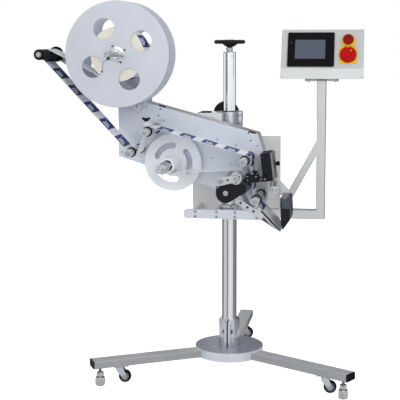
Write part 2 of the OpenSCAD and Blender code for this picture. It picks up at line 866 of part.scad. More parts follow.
module pinch_roller() {
    color([0.85, 0.86, 0.88]) on_head() {
        bar_y(pinch_axis, pinch_d / 2, pinch_front, web_back + drive_over);
        bar_y(pinch_axis, drive_shaft_r, web_back + drive_over, tray_front + housing_back / 2);
    }
}

module belt_guard() {
    color([0.5, 0.5, 0.52]) on_head() bar_y(motor_axis + guard_post_at, guard_post_r, guard_back, tray_front);
    color([0.1, 0.1, 0.11]) on_head() difference() {
        across(guard_front, guard_back) teardrop(motor_axis, guard_big_r, drive_axis, guard_small_r);
        across(guard_front + guard_wall, guard_back - guard_wall)
            teardrop(motor_axis, guard_big_r - guard_wall, drive_axis, guard_small_r - guard_wall);
        bar_y(motor_axis, motor_shaft_r + seat_gap, guard_back - 2 * guard_wall, guard_back + overrun);
        bar_y(drive_axis, drive_shaft_r + seat_gap, guard_back - 2 * guard_wall, guard_back + overrun);
    }
}

// Rewinder

rewind_reach = 140;
rewind_front = web_front - rewind_reach;
jaw_w = 10;
jaw_out = 21;
jaw_count = 4;
liner_bore = norm([jaw_out, jaw_w / 2]) + seat_gap;
jaw_inset = 26;
jaw_turn = 20;
jaw_front = rewind_front + jaw_inset;
rewind_disc_front = web_back + disc_gap;
slot_r = 66;
slot_half = 11;
slot_span = 70;
slot_count = 3;
slot_turn = 4;

module rewind_shaft() {
    color([0.74, 0.75, 0.78]) on_head() {
        bar_y(rewind_axis, rewind_shaft_r, rewind_front, shaft_back);
        for (k = [1:jaw_count]) translate([rewind_axis[0], 0, rewind_axis[1]]) rotate([0, k * 360 / jaw_count + jaw_turn, 0])
            block([rewind_shaft_r + running_fit, jaw_front, -jaw_w / 2], [jaw_out, web_back, jaw_w / 2]);
    }
}

module arc_slot(middle) {
    inner = slot_r - slot_half;
    outer = slot_r + slot_half;
    angles = [for (k = [0:arc_steps]) middle + (k / arc_steps - 1 / 2) * slot_span];
    polygon(concat([for (a = angles) outer * [cos(a), sin(a)]],
        [for (k = [len(angles) - 1:-1:0]) inner * [cos(angles[k]), sin(angles[k])]]));
    for (a = [angles[0], angles[len(angles) - 1]])
        translate(slot_r * [cos(a), sin(a)]) circle(r = slot_half);
}

module rewind_reel() {
    color([0.79, 0.82, 0.87]) on_head() difference() {
        bar_y(rewind_axis, rewind_d / 2, rewind_disc_front, rewind_disc_front + disc_t, $fn = 96);
        bar_y(rewind_axis, rewind_shaft_r + running_fit, rewind_disc_front - overrun, rewind_disc_front + 2 * disc_t);
        across(rewind_disc_front - overrun, rewind_disc_front + disc_t + overrun)
            translate(rewind_axis) for (k = [1:slot_count]) arc_slot(slot_turn + k * 360 / slot_count);
    }
    color([0.93, 0.94, 0.95]) on_head() difference() {
        bar_y(rewind_axis, liner_d / 2, web_front, web_back);
        bar_y(rewind_axis, liner_bore, web_front - overrun, web_back + overrun);
    }
}

// Web of labels and liner

web_t = 0.6;
turn_r = 9;
tip_r = 3;
web_clear = 0.4;
web_off = web_clear + web_t / 2;
loop_rollers = [[reel_axis, roll_d / 2 + web_off, -1], [dancer_axis, dancer_d / 2 + web_off, 1],
    [low_left, roller_d / 2 + web_off, 1]];
label_rollers = [[dancer_axis, dancer_d / 2 + web_off, 1], [low_left, roller_d / 2 + web_off, 1],
    [up_left, roller_d / 2 + web_off, -1], [up_right, roller_d / 2 + web_off, -1],
    [low_right, roller_d / 2 + web_off, 1], [tip_centre, tip_r + web_off, -1]];
liner_rollers = [[low_right, roller_d / 2 + web_off, 1], [tip_centre, tip_r + web_off, -1],
    [turn_axis, turn_r + web_off, -1],
    [drive_axis, drive_d / 2 + web_off, -1], [pinch_axis, pinch_d / 2 + web_off, 1],
    [rewind_axis, liner_d / 2 + web_off, -1]];

module web_loop() {
    color([0.9, 0.92, 0.94]) on_head()
        across(web_front, web_back) strip(web_points(loop_rollers, arc_steps), web_t);
}

module label_web() {
    path = web_points(label_rollers, arc_steps);
    color([0.9, 0.92, 0.95]) on_head()
        across(web_front, web_back) strip([for (i = [2:len(path) - 1]) path[i]], web_t);
}

module liner_web() {
    path = web_points(liner_rollers, arc_steps);
    color([0.88, 0.89, 0.9]) on_head()
        across(web_front, web_back) strip([for (i = [2:len(path) - 1]) path[i]], web_t);
}

// Peel plate, sensor, control box and brush

beam_t = 12;
beam_side = 8;
beam_heading = run_angle([low_right, roller_d / 2 + web_off, 1], [tip_centre, tip_r + web_off, -1]);
beam_along = [cos(beam_heading), sin(beam_heading)];
beam_down = [sin(beam_heading), -cos(beam_heading)];
beam_l = 118;
beam_taper = 46;
cheek_w = 22;
cheek_t = 8;
cheek_from = [84, 770];
cheek_to = [172, 717];
cheek_hole_shares = [0.12, 0.42, 0.68];

// The section of the peel beam, which narrows to its rounded edge
module beam_section() {
    low = (beam_t - tip_r) * beam_down;
    translate(tip_centre) {
        circle(r = tip_r, $fn = 32);
        polygon([-tip_r * beam_down, -beam_l * beam_along - tip_r * beam_down, low - beam_l * beam_along,
            low - beam_taper * beam_along, tip_r * beam_down]);
    }
}

module peel_beam() {
    side_front = web_front - beam_side;
    color([0.7, 0.72, 0.76]) on_head() {
        across(side_front, tray_front) beam_section();
        across(side_front - cheek_t, side_front) difference() {
            teardrop(cheek_from, cheek_w / 2, cheek_to, cheek_w / 2);
            for (s = cheek_hole_shares) translate(cheek_from + s * (cheek_to - cheek_from)) circle(r = bolt_head_r);
        }
        bar_y(turn_axis, turn_r, side_front, tray_front);
    }
}

sensor_low = 842;
sensor_high = 872;
sensor_left = 114;
sensor_right = 160;
sensor_out = 20;
sensor_in = 30;
sensor_front = web_front - sensor_out;
sensor_back = web_front + sensor_in;
sensor_slot = 8;

sensor_arm_depth = 20;
sensor_arm_reach = 30;
sensor_arm_h = 18;

module label_sensor() {
    slot_left = touch(label_rollers[3], run_angle(label_rollers[3], label_rollers[4]))[0];
    color([0.08, 0.08, 0.09]) on_head() difference() {
        union() {
            block([sensor_left, sensor_front, sensor_low], [sensor_right, sensor_back, sensor_high]);
            block([sensor_right - sensor_slot, box_front - sensor_arm_depth, sensor_low],
                  [sensor_right + sensor_arm_reach, box_front, sensor_low + sensor_arm_h]);
        }
        block([slot_left, sensor_front + sensor_slot, sensor_low - overrun],
              [slot_left + 2 * sensor_slot, sensor_back + overrun, sensor_high + overrun]);
    }
}

box_inset = 34;
box_front = web_front + box_inset;
box_plate_t = 5;
box_plate_left = 140;
box_plate_low = 852;
box_plate_h = 76;
box_low_left = [174, 838];
box_w = 46;
box_l = 106;
box_lean = 7;
box_knob_r = 8;
box_knob_l = 18;
box_knob_share = 0.55;

module control_box() {
    color([0.11, 0.11, 0.13]) on_head() {
        across(box_front, tray_front - box_plate_t)
            translate(box_low_left) rotate(box_lean) square([box_w, box_l]);
        block([box_plate_left, tray_front - box_plate_t, box_plate_low],
              [box_low_left[0] + box_w / 2, tray_front, box_plate_low + box_plate_h]);
        middle = (box_front + tray_front) / 2;
        translate([box_low_left[0], middle, box_low_left[1]]) rotate([0, -box_lean, 0])
            translate([box_w, 0, box_knob_share * box_l]) rotate([0, 90, 0])
                cylinder(h = box_knob_l, r = box_knob_r);
    }
}

pad_outline = [[242, 784], [276, 784], [281, 706], [258, 676], [250, 690]];
pad_out = 20;
pad_in = 12;
pad_front = web_front - pad_out;
pad_back = web_back + pad_in;
arm_plate_t = 10;
arm_plate_low = [[262, 798], [262, 770], [190, 784]];
arm_plate_shares = [0.2, 0.95];

module brush_block() {
    color([0.1, 0.1, 0.12]) on_head() across(pad_front, pad_back) polygon(pad_outline);
    box_edge = box_w * [cos(box_lean), sin(box_lean)];
    color([0.7, 0.7, 0.72]) on_head() across(pad_back, pad_back + arm_plate_t)
        polygon(concat([for (share = arm_plate_shares) box_low_left + share * box_edge], arm_plate_low));
}

// Control panel and its frame

panel_foot_z = frame_z;
panel_bar_h = frame_h;
post_left = post_right - post_w;
brace_top = [post_left, 970];
brace_foot = [205, frame_z + frame_h];
brace_drop = 59;
pivot_rod_r = 4;
pivot_drop = 6;
pivot_z = panel_base_z - pivot_drop;
pivot_half = 62;
bar_start = bar_right - rib_t / 2;

module panel_frame() {
    bar_high = panel_foot_z + panel_bar_h;
    color([0.82, 0.82, 0.83]) on_head() {
        across(post_y - post_depth / 2, post_y + post_depth / 2) union() {
            translate([post_left, panel_foot_z]) square([post_w, pivot_z - panel_foot_z]);
            translate([bar_start, panel_foot_z]) square([post_left - bar_start, panel_bar_h]);
            brace_run = (brace_top[1] - bar_high) * (brace_top[0] - brace_foot[0]) / (brace_top[1] - brace_foot[1]);
            polygon([brace_top, [brace_top[0] - brace_run, bar_high],
                [brace_top[0] - brace_run * (1 - brace_drop / (brace_top[1] - bar_high)), bar_high],
                [brace_top[0], brace_top[1] - brace_drop]]);
        }
        translate([(post_left + post_right) / 2 - pivot_half, post_y, pivot_z]) rotate([0, 90, 0])
            cylinder(h = 2 * pivot_half, r = pivot_rod_r);
    }
}

panel_wall = 2;
cable_hole_r = 9;
cable_hole_in = 20;

lug_t = 8;
lug_r = 8;

// The panel's side view, in y and z, drawn in by a wall
function panel_profile(i) =
    let (t = panel_lean, u = [cos(t), -sin(t)], v = [sin(t), cos(t)],
         a = [panel_base_y, panel_base_z], b = a + panel_l * v, c = b + panel_d * u)
    [[a[0] + i * tan(t) + i / cos(t), a[1] + i], b + i * u - i * v, c - i * u - i * v,
     [a[0] + i * tan(t) + (panel_d - i) / cos(t), a[1] + i]];

module along_x(left, right) {
    translate([left, 0, 0]) rotate([90, 0, 90]) linear_extrude(right - left) children();
}

module panel_shell() {
    color([0.88, 0.88, 0.87]) on_head() {
        difference() {
            along_x(panel_left, panel_left + panel_w) polygon(panel_profile(0));
            along_x(panel_left + panel_wall, panel_left + panel_w - panel_wall) polygon(panel_profile(panel_wall));
            translate([panel_left + panel_w / 2, panel_base_y + cable_hole_in, panel_base_z - overrun])
                cylinder(h = panel_wall + 2 * overrun, r = cable_hole_r);
        }
        for (x = [post_left - lug_t - pivot_half / 2, post_right + pivot_half / 2]) difference() {
            along_x(x, x + lug_t) union() {
                translate([post_y, pivot_z]) circle(r = lug_r);
                translate([post_y - lug_r, pivot_z]) square([2 * lug_r, panel_base_z - pivot_z]);
            }
            translate([x - overrun, post_y, pivot_z]) rotate([0, 90, 0])
                cylinder(h = lug_t + 2 * overrun, r = pivot_rod_r + running_fit);
        }
    }
}

// Puts a piece on the panel's face: x across, y up the face, z out of it
module on_face(x, up) {
    translate([x, panel_base_y + up * sin(panel_lean), panel_base_z + up * cos(panel_lean)])
        rotate([90 - panel_lean, 0, 0]) children();
}

bezel_x = 329;
bezel_up = 122;
bezel_w = 184;
bezel_h = 144;
bezel_t = 6;
knobs_x = 475;
estop_up = 157;
estop_base_r = 28;
estop_base_t = 12;
estop_neck_r = 11;
estop_cap_r = 20;
estop_travel = 4;
estop_cap_t = 16;
cap_rim_share = 0.85;
cap_edge_share = 0.8;
cap_crown_share = 0.4;
switch_up = 98;
switch_plate_w = 68;
switch_plate_t = 5;
dial_r = 30;
dial_t = 12;
dial_pin_r = 5;

module panel_fittings() {
    color([0.08, 0.08, 0.09]) on_head() on_face(bezel_x, bezel_up)
        block([-bezel_w / 2, -bezel_h / 2, 0], [bezel_w / 2, bezel_h / 2, bezel_t]);
    color([0.95, 0.78, 0.1]) on_head() {
        on_face(knobs_x, estop_up) difference() {
            cylinder(h = estop_base_t, r = estop_base_r);
            translate([0, 0, panel_wall]) cylinder(h = estop_base_t, r = estop_neck_r + running_fit);
        }
        on_face(knobs_x, switch_up) difference() {
            block([-switch_plate_w / 2, -switch_plate_w / 2, 0], [switch_plate_w / 2, switch_plate_w / 2 - overrun, switch_plate_t]);
            translate([0, 0, panel_wall]) cylinder(h = switch_plate_t, r = dial_pin_r + running_fit);
        }
    }
}

module estop_button() {
    color([0.75, 0.1, 0.1]) on_head() on_face(knobs_x, estop_up) {
        translate([0, 0, panel_wall + estop_travel + seat_gap])
            cylinder(h = estop_base_t, r = estop_neck_r);
        translate([0, 0, estop_base_t + estop_travel + 2 * seat_gap])
            rotate_extrude() polygon([[0, 0], [estop_cap_r, 0], [estop_cap_r, estop_cap_t / 2],
                [estop_cap_r * cap_edge_share, estop_cap_t * cap_rim_share],
                [estop_cap_r * cap_crown_share, estop_cap_t], [0, estop_cap_t]]);
    }
}

module switch_dial() {
    color([0.82, 0.1, 0.1]) on_head() on_face(knobs_x, switch_up) {
        translate([0, 0, panel_wall + seat_gap]) cylinder(h = switch_plate_t, r = dial_pin_r);
        translate([0, 0, switch_plate_t + seat_gap]) cylinder(h = dial_t, r = dial_r);
    }
}

base_plate();
leg(leg_angles[0]);  // leg_left
leg(leg_angles[1]);  // leg_right
leg(leg_angles[2]);  // leg_rear
leg_end_caps();
foot(leg_angles[0]);  // foot_left
foot(leg_angles[1]);  // foot_right
foot(leg_angles[2]);  // foot_rear
caster_plates();
caster_fork(leg_angles[0]);  // caster_fork_left
caster_fork(leg_angles[1]);  // caster_fork_right
caster_fork(leg_angles[2]);  // caster_fork_rear
caster_wheel(leg_angles[0]);  // caster_wheel_left
caster_wheel(leg_angles[1]);  // caster_wheel_right
caster_wheel(leg_angles[2]);  // caster_wheel_rear
base_clamp();
base_screws();
lower_tube();
guide_bush();
screw_post();
upper_tube();
top_plug();
lead_screw();
handwheel();
upper_clamp();
rear_knob();
front_bar();
frame_ribs();
head_screws();
back_plate();
main_plate();
bearing_housings();
reel_shaft();
reel_discs();
label_roll();
dancer_arm();
dancer_roller();
guide_roller(low_left);  // lower_left_roller
guide_roller(up_left);  // upper_left_roller
guide_roller(up_right);  // upper_right_roller
guide_roller(low_right);  // lower_right_roller
roller_spindles();
drive_motor();
drive_roller();
pinch_roller();
belt_guard();
rewind_shaft();
rewind_reel();
web_loop();
label_web();
liner_web();
peel_beam();
label_sensor();
control_box();
brush_block();
panel_frame();
panel_shell();
panel_fittings();
estop_button();
switch_dial();
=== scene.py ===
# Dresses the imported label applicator. Places and sizes are in millimetres from the column's foot.
from math import acos, asin, atan2, ceil, cos, degrees, pi, radians, sin, sqrt

import bmesh
import bpy
from mathutils import Matrix, Vector


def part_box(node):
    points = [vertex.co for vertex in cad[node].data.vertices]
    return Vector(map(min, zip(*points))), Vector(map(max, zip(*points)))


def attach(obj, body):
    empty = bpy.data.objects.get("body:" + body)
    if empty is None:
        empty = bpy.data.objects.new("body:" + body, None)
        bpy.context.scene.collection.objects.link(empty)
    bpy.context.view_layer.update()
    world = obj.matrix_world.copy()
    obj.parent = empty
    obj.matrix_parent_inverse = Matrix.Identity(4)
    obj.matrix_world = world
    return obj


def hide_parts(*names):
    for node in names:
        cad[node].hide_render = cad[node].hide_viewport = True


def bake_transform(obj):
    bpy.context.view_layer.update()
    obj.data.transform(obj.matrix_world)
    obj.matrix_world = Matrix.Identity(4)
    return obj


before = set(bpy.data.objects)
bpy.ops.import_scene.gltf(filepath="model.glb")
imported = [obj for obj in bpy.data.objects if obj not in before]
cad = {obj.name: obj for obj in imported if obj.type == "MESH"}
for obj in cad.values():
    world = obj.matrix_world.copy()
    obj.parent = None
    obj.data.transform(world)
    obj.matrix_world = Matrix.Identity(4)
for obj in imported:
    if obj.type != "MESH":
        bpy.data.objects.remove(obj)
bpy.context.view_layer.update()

MM = 0.001
tube_low, tube_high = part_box("lower_tube")
FOOT = Vector(((tube_low.x + tube_high.x) / 2, (tube_low.y + tube_high.y) / 2, 0.0))
SHARP = radians(32)
TURN = 2 * pi


def box_of(node):
    """Lowest and highest corner of a CAD node."""
    low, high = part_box(node)
    return (low - FOOT) / MM, (high - FOOT) / MM


def axis_of(node):
    """Where the axis of a turned CAD node crosses the plane of the main plate, as x and z."""
    low, high = box_of(node)
    return Vector(((low.x + high.x) / 2, (low.z + high.z) / 2))


def row(x, y, z):
    """A place in metres in the row's frame."""
    return FOOT + MM * Vector((x, y, z))


# Colours and materials

PAINTS = {}
BROAD = 14.0
RELIEF = 0.0004
COAT_ROUGHNESS = 0.08


def linear(colour, share):
    """A colour as it looks on screen, 0 to 255, made lighter or darker, as the values that a shader takes."""
    values = [value / 255 for value in colour]
    values = [value / 12.92 if value <= 0.04045 else ((value + 0.055) / 1.055) ** 2.4 for value in values]
    return tuple(min(1.0, value * share) for value in values) + (1.0,)


def fill(node, inputs):
    """Sets inputs of a shader node. A value that is another node's output is linked."""
    for key, value in inputs.items():
        if isinstance(value, bpy.types.NodeSocket):
            node.id_data.links.new(value, node.inputs[key])
        else:
            node.inputs[key].default_value = value
    return node


def add(tree, kind, inputs=None, **settings):
    made = tree.nodes.new(kind)
    for key, value in settings.items():
        setattr(made, key, value)
    return fill(made, inputs or {})


def surface(paint, name, colour, roughness, metallic=0.0, grain=900.0, stretch=(1, 1, 1), turn=0.0,
            tone=0.06, spread=0.05, bump=0.015, coat=0.0, edge_wear_and_shade=0.0, edge=2.2, reach=1.6, shine=0.5,
            top=None, right=None):
    """Enters a paint with fine grain, broad patches, uneven gloss and, where wanted, marked edges: an edge
    value above 1 makes them lighter as wear, one below 1 makes them darker as painted shade.

    Faces that look up or to the right can have a colour of their own, which is painted light and painted
    shade.
    """
    material = bpy.data.materials.new(name)
    material.use_nodes = True
    tree = material.node_tree
    mapping = add(tree, "ShaderNodeMapping", {"Vector": add(tree, "ShaderNodeTexCoord").outputs["Object"],
                                              "Rotation": (0, 0, turn), "Scale": stretch})

    def noise(scale, detail):
        inputs = {"Vector": mapping.outputs[0], "Scale": scale, "Detail": detail}
        return add(tree, "ShaderNodeTexNoise", inputs).outputs["Fac"]

    def mapped(value, first, last, low=0.0, high=1.0):
        inputs = {"Value": value, "From Min": first, "From Max": last, "To Min": low, "To Max": high}
        return add(tree, "ShaderNodeMapRange", inputs).outputs[0]

    def mix(share, first, second):
        return add(tree, "ShaderNodeMix", {0: share, 6: first, 7: second}, data_type="RGBA").outputs[2]

    def patchy(tint):
        return mix(patches, linear(tint, 1 - tone), linear(tint, 1 + tone))

    def normal():
        return add(tree, "ShaderNodeNewGeometry").outputs["Normal"]

    fine = noise(grain, 3.0)
    both = add(tree, "ShaderNodeMath", {0: fine, 1: noise(BROAD, 2.0)}, operation="ADD")
    patches = mapped(both.outputs[0], 0.6, 1.4)
    shade = patchy(colour)
    # Up-facing and right-facing faces get another colour: painted light and painted shade for how the lamps
    # fall on them.
    for axis, tint, begin, full in (("Z", top, 0.8, 0.95), ("X", right, 0.3, 0.6)):
        if tint:
            facing = add(tree, "ShaderNodeSeparateXYZ", {0: normal()}).outputs[axis]
            shade = mix(mapped(facing, begin, full), shade, patchy(tint))
    # Near edges the colour is scaled by edge: lighter as wear above 1, darker as painted edge shade below 1.
    if edge_wear_and_shade:
        soft = add(tree, "ShaderNodeBevel", {"Radius": reach * MM}, samples=6).outputs[0]
        near_edge = add(tree, "ShaderNodeVectorMath", {0: soft, 1: normal()}, operation="DOT_PRODUCT")
        wear_and_shade = mapped(near_edge.outputs["Value"], 1.0, 0.86, high=edge_wear_and_shade)
        shade = mix(wear_and_shade, shade, linear(colour, edge))
    relief = add(tree, "ShaderNodeBump", {"Height": fine, "Strength": bump, "Distance": RELIEF})
    gloss = mapped(patches, 0.0, 1.0, max(0.03, roughness - spread), roughness + spread)
    fill(tree.nodes["Principled BSDF"], {
        "Base Color": shade, "Roughness": gloss, "Normal": relief.outputs[0], "Metallic": metallic,
        "Specular IOR Level": shine, "Coat Weight": coat, "Coat Roughness": COAT_ROUGHNESS})
    PAINTS[paint] = material


BRUSHED_UP = (1, 1, 0.03)
BRUSHED_ALONG = (0.03, 1, 1)
LATHED = (1, 0.15, 1)
LEG_ANGLES = {"left": 210, "right": 330, "rear": 90}

# In the paints below, an edge under 1 darkens the edges as painted shade and an edge over 1 lightens them as
# wear. The sheet's up-facing and right-facing faces are painted darker as painted shade.
surface("plate", "pale_anodised_sheet", (216, 223, 233), 0.42, 0.2, grain=1400.0, bump=0.05, edge_wear_and_shade=0.8,
        edge=0.4, top=(176, 175, 177), right=(186, 188, 194))
surface("disc", "pale_anodised_disc", (205, 210, 220), 0.45, 0.2, grain=1400.0, bump=0.05)
surface("pale_disc", "pale_plastic_disc", (236, 240, 246), 0.4, grain=1400.0, bump=0.05, edge_wear_and_shade=0.6,
        edge=0.6, shine=0.4)
surface("bar", "clear_anodised_bar", (232, 237, 245), 0.36, 0.35, stretch=BRUSHED_ALONG, edge_wear_and_shade=0.8,
        edge=0.35)
surface("warm", "warm_grey_sheet", (234, 234, 232), 0.45, 0.1, stretch=BRUSHED_UP, edge_wear_and_shade=0.7, edge=0.5)
surface("tube_alloy", "roller_tube", (206, 209, 214), 0.26, 0.8, stretch=LATHED, spread=0.012, bump=0.01,
        edge_wear_and_shade=0.8, edge=0.3)
surface("alloy", "machined_alloy", (205, 208, 215), 0.3, 0.75, grain=1100.0, stretch=LATHED, spread=0.015,
        edge_wear_and_shade=0.7, edge=0.35)
surface("collar", "turned_alloy", (214, 218, 226), 0.22, 0.9, stretch=(1, 1, 0.2), spread=0.015, edge_wear_and_shade=0.8,
        edge=0.3)
# The base's up-facing faces are darker: partly the satin coat over a bare turned rim, partly painted shade.
surface("base", "base_coat", (222, 226, 234), 0.34, 0.3, grain=1000.0, edge_wear_and_shade=0.8, edge=1.6,
        top=(158, 163, 176))
surface("chrome", "hard_chrome", (214, 216, 220), 0.16, 1.0, grain=60.0, tone=0.02, spread=0.015, bump=0.0,
        edge_wear_and_shade=0.8, edge=0.25)
surface("tube", "polished_tube", (238, 240, 243), 0.09, 1.0, grain=700.0, stretch=BRUSHED_UP, tone=0.03,
        spread=0.005, bump=0.0)
surface("zinc", "zinc_plate", (215, 220, 228), 0.22, 0.9, grain=120.0, tone=0.07, spread=0.03)
surface("steel", "plain_steel", (172, 174, 178), 0.3, 0.9, grain=600.0, spread=0.015)
surface("dark_steel", "blackened_steel", (74, 76, 82), 0.36, 0.8, grain=600.0, spread=0.02)
surface("foot", "satin_steel", (206, 205, 203), 0.24, 0.9, grain=500.0, spread=0.02, edge_wear_and_shade=0.9, edge=0.2,
        reach=2.4)
# The post's right-facing faces are painted dark as painted shade.
surface("post", "satin_post", (214, 214, 216), 0.4, 0.3, stretch=BRUSHED_UP, edge_wear_and_shade=1.0, edge=0.2, reach=6,
        right=(96, 97, 101))
# The collar's right-facing faces are painted darker as painted shade.
surface("cast", "cast_alloy", (230, 233, 238), 0.24, 0.65, spread=0.015, edge_wear_and_shade=0.9, edge=0.3, reach=3,
        right=(150, 152, 158))
surface("black", "black_moulding", (26, 27, 31), 0.4, grain=1500.0, bump=0.12, edge_wear_and_shade=0.25, shine=0.15)
surface("rubber", "black_rubber", (22, 22, 24), 0.5, grain=1200.0, bump=0.2, shine=0.1)
surface("grey_rubber", "grey_rubber", (82, 88, 104), 0.42, grain=1200.0, bump=0.15, shine=0.3)
# The black moulding in a lighter bluish copy, as a painted highlight on the pressing block's upper part.
surface("sheen_black", "black_moulding_painted_sheen", (62, 69, 86), 0.3, grain=1200.0, coat=0.2, edge_wear_and_shade=0.3, shine=0.3)
surface("fin", "cast_grey_fins", (132, 134, 140), 0.4, 0.5, grain=700.0, edge_wear_and_shade=0.7)
surface("bronze", "bearing_bronze", (196, 158, 96), 0.3, 0.9)
# The case's right-facing faces are painted darker as painted shade.
surface("paint", "panel_paint", (206, 208, 209), 0.45, grain=1600.0, bump=0.16, edge_wear_and_shade=1.0, edge=0.4,
        reach=3.5, shine=0.3, right=(140, 141, 144))
surface("lip", "panel_lip_paint", (229, 231, 231), 0.45, grain=1600.0, bump=0.16, shine=0.3)
surface("bezel", "bezel_black", (13, 14, 18), 0.36, grain=1800.0, bump=0.1, edge_wear_and_shade=0.4, shine=0.08)
surface("screen", "screen_glass", (72, 81, 98), 0.2, grain=30.0, tone=0.03, bump=0.0, coat=0.25)
surface("yellow", "yellow_moulding", (250, 204, 36), 0.4, bump=0.04, shine=0.15)
surface("red", "red_moulding", (148, 5, 5), 0.34, bump=0.04, shine=0.12)
surface("bright_red", "dial_red", (196, 16, 12), 0.36, bump=0.04, shine=0.12, edge_wear_and_shade=0.7, edge=0.4)
surface("green", "green_moulding", (40, 120, 84), 0.4, shine=0.3)
surface("liner", "glassine_liner", (246, 249, 252), 0.34, grain=500.0, stretch=(1, 4, 1), coat=0.15)
surface("roll_side", "roll_edge", (233, 229, 216), 0.6, grain=420.0, tone=0.08, bump=0.25)
surface("card", "core_card", (196, 170, 132), 0.7, grain=700.0, tone=0.12, bump=0.3)
surface("label", "coated_label", (250, 252, 255), 0.4, grain=400.0, tone=0.02, shine=0.3)
surface("navy", "navy_print", (40, 56, 122), 0.5, grain=400.0, tone=0.05, shine=0.15)
surface("sky", "sky_print", (122, 152, 206), 0.5, grain=400.0, tone=0.05, shine=0.15)
# The legs' up-facing faces are painted lighter as painted light.
for side, angle in LEG_ANGLES.items():
    surface("leg_" + side, "brushed_leg_" + side, (171, 172, 176), 0.38, 0.4, tone=0.1, edge_wear_and_shade=0.8, edge=0.4,
            stretch=BRUSHED_ALONG, turn=-radians(angle), top=(221, 221, 226))


# Places

def up_at(x, y, z):
    return Matrix.Translation((x, y, z))


def spun(axis, angle):
    return Matrix.Rotation(radians(angle), 4, axis)


def front_at(x, y, z):
    """The axis looks to the front, with local y up."""
    return up_at(x, y, z) @ spun("X", 90)


def back_at(x, y, z):
    return up_at(x, y, z) @ spun("X", -90)


def right_at(x, y, z):
    return up_at(x, y, z) @ spun("Y", 90)


def left_at(x, y, z):
    return up_at(x, y, z) @ spun("Y", -90)


# Outlines

def polar(centre, radius, angle):
    """The point at an angle in degrees round a centre."""
    a = radians(angle)
    return Vector((centre[0] + radius * cos(a), centre[1] + radius * sin(a)))


def arc(centre, radius, start, end, steps):
    return [polar(centre, radius, start + (end - start) * k / steps) for k in range(steps + 1)]


def circle(radius, steps=32):
    return arc((0, 0), radius, 0, 360 * (steps - 1) / steps, steps - 1)


def rounded(width, height, radius, centre=(0, 0)):
    """A rectangle with round corners."""
    points = []
    for k, (sx, sy) in enumerate(((1, 1), (-1, 1), (-1, -1), (1, -1))):
        corner = (centre[0] + sx * (width / 2 - radius), centre[1] + sy * (height / 2 - radius))
        points += arc(corner, radius, k * 90, k * 90 + 90, 5)
    return points


def capsule(first, second, first_r, second_r):
    """An outline with round ends of two sizes."""
    first, second = Vector(first), Vector(second)
    along = second - first
    heading = degrees(atan2(along.y, along.x))
    lean = degrees(acos((first_r - second_r) / along.length))
    return (arc(second, second_r, heading - lean, heading + lean, 16)
            + arc(first, first_r, heading + lean, heading + 360 - lean, 16))


def area(loop):
    return sum(loop[i - 1].x * p.y - p.x * loop[i - 1].y for i, p in enumerate(loop)) / 2


def moved_in(loop, distance):
    """The loop moved to the left of its direction."""
    moved = []
    for i, point in enumerate(loop):
        before = (point - loop[i - 1]).normalized()
        after = (loop[(i + 1) % len(loop)] - point).normalized()
        normals = Vector((-before.y, before.x)), Vector((-after.y, after.x))
        moved.append(point + distance * (normals[0] + normals[1]) / (1 + normals[0].dot(normals[1])))
    return moved


def ended(near, far, length):
    """A profile whose far points are measured back from its far end."""
    return near + [(radius, length - depth, *sides) for radius, depth, *sides in far]


def mirrored(half, length):
    return ended(half, half[::-1], length)


# Pieces

def skin(part, rings, closed=False, ends=False):
    """Faces from each ring of points to the next, and from the last to the first or over the ends."""
    for low, high in list(zip(rings, rings[1:])) + [(rings[-1], rings[0])] * closed:
        steps = max(len(low), len(high))
        for k in range(steps):
            j = (k + 1) % steps
            corners = low[k % len(low)], low[j % len(low)], high[j % len(high)], high[k % len(high)]
            part.faces.new(list(dict.fromkeys(corners)))
    if ends:
        part.faces.new(rings[0])
        part.faces.new(rings[-1])


def break_edges(part, edges, chamfer, segments):
    bmesh.ops.bevel(part, geom=edges, offset=chamfer, segments=segments, profile=0.5, affect="EDGES",
                    clamp_overlap=True)


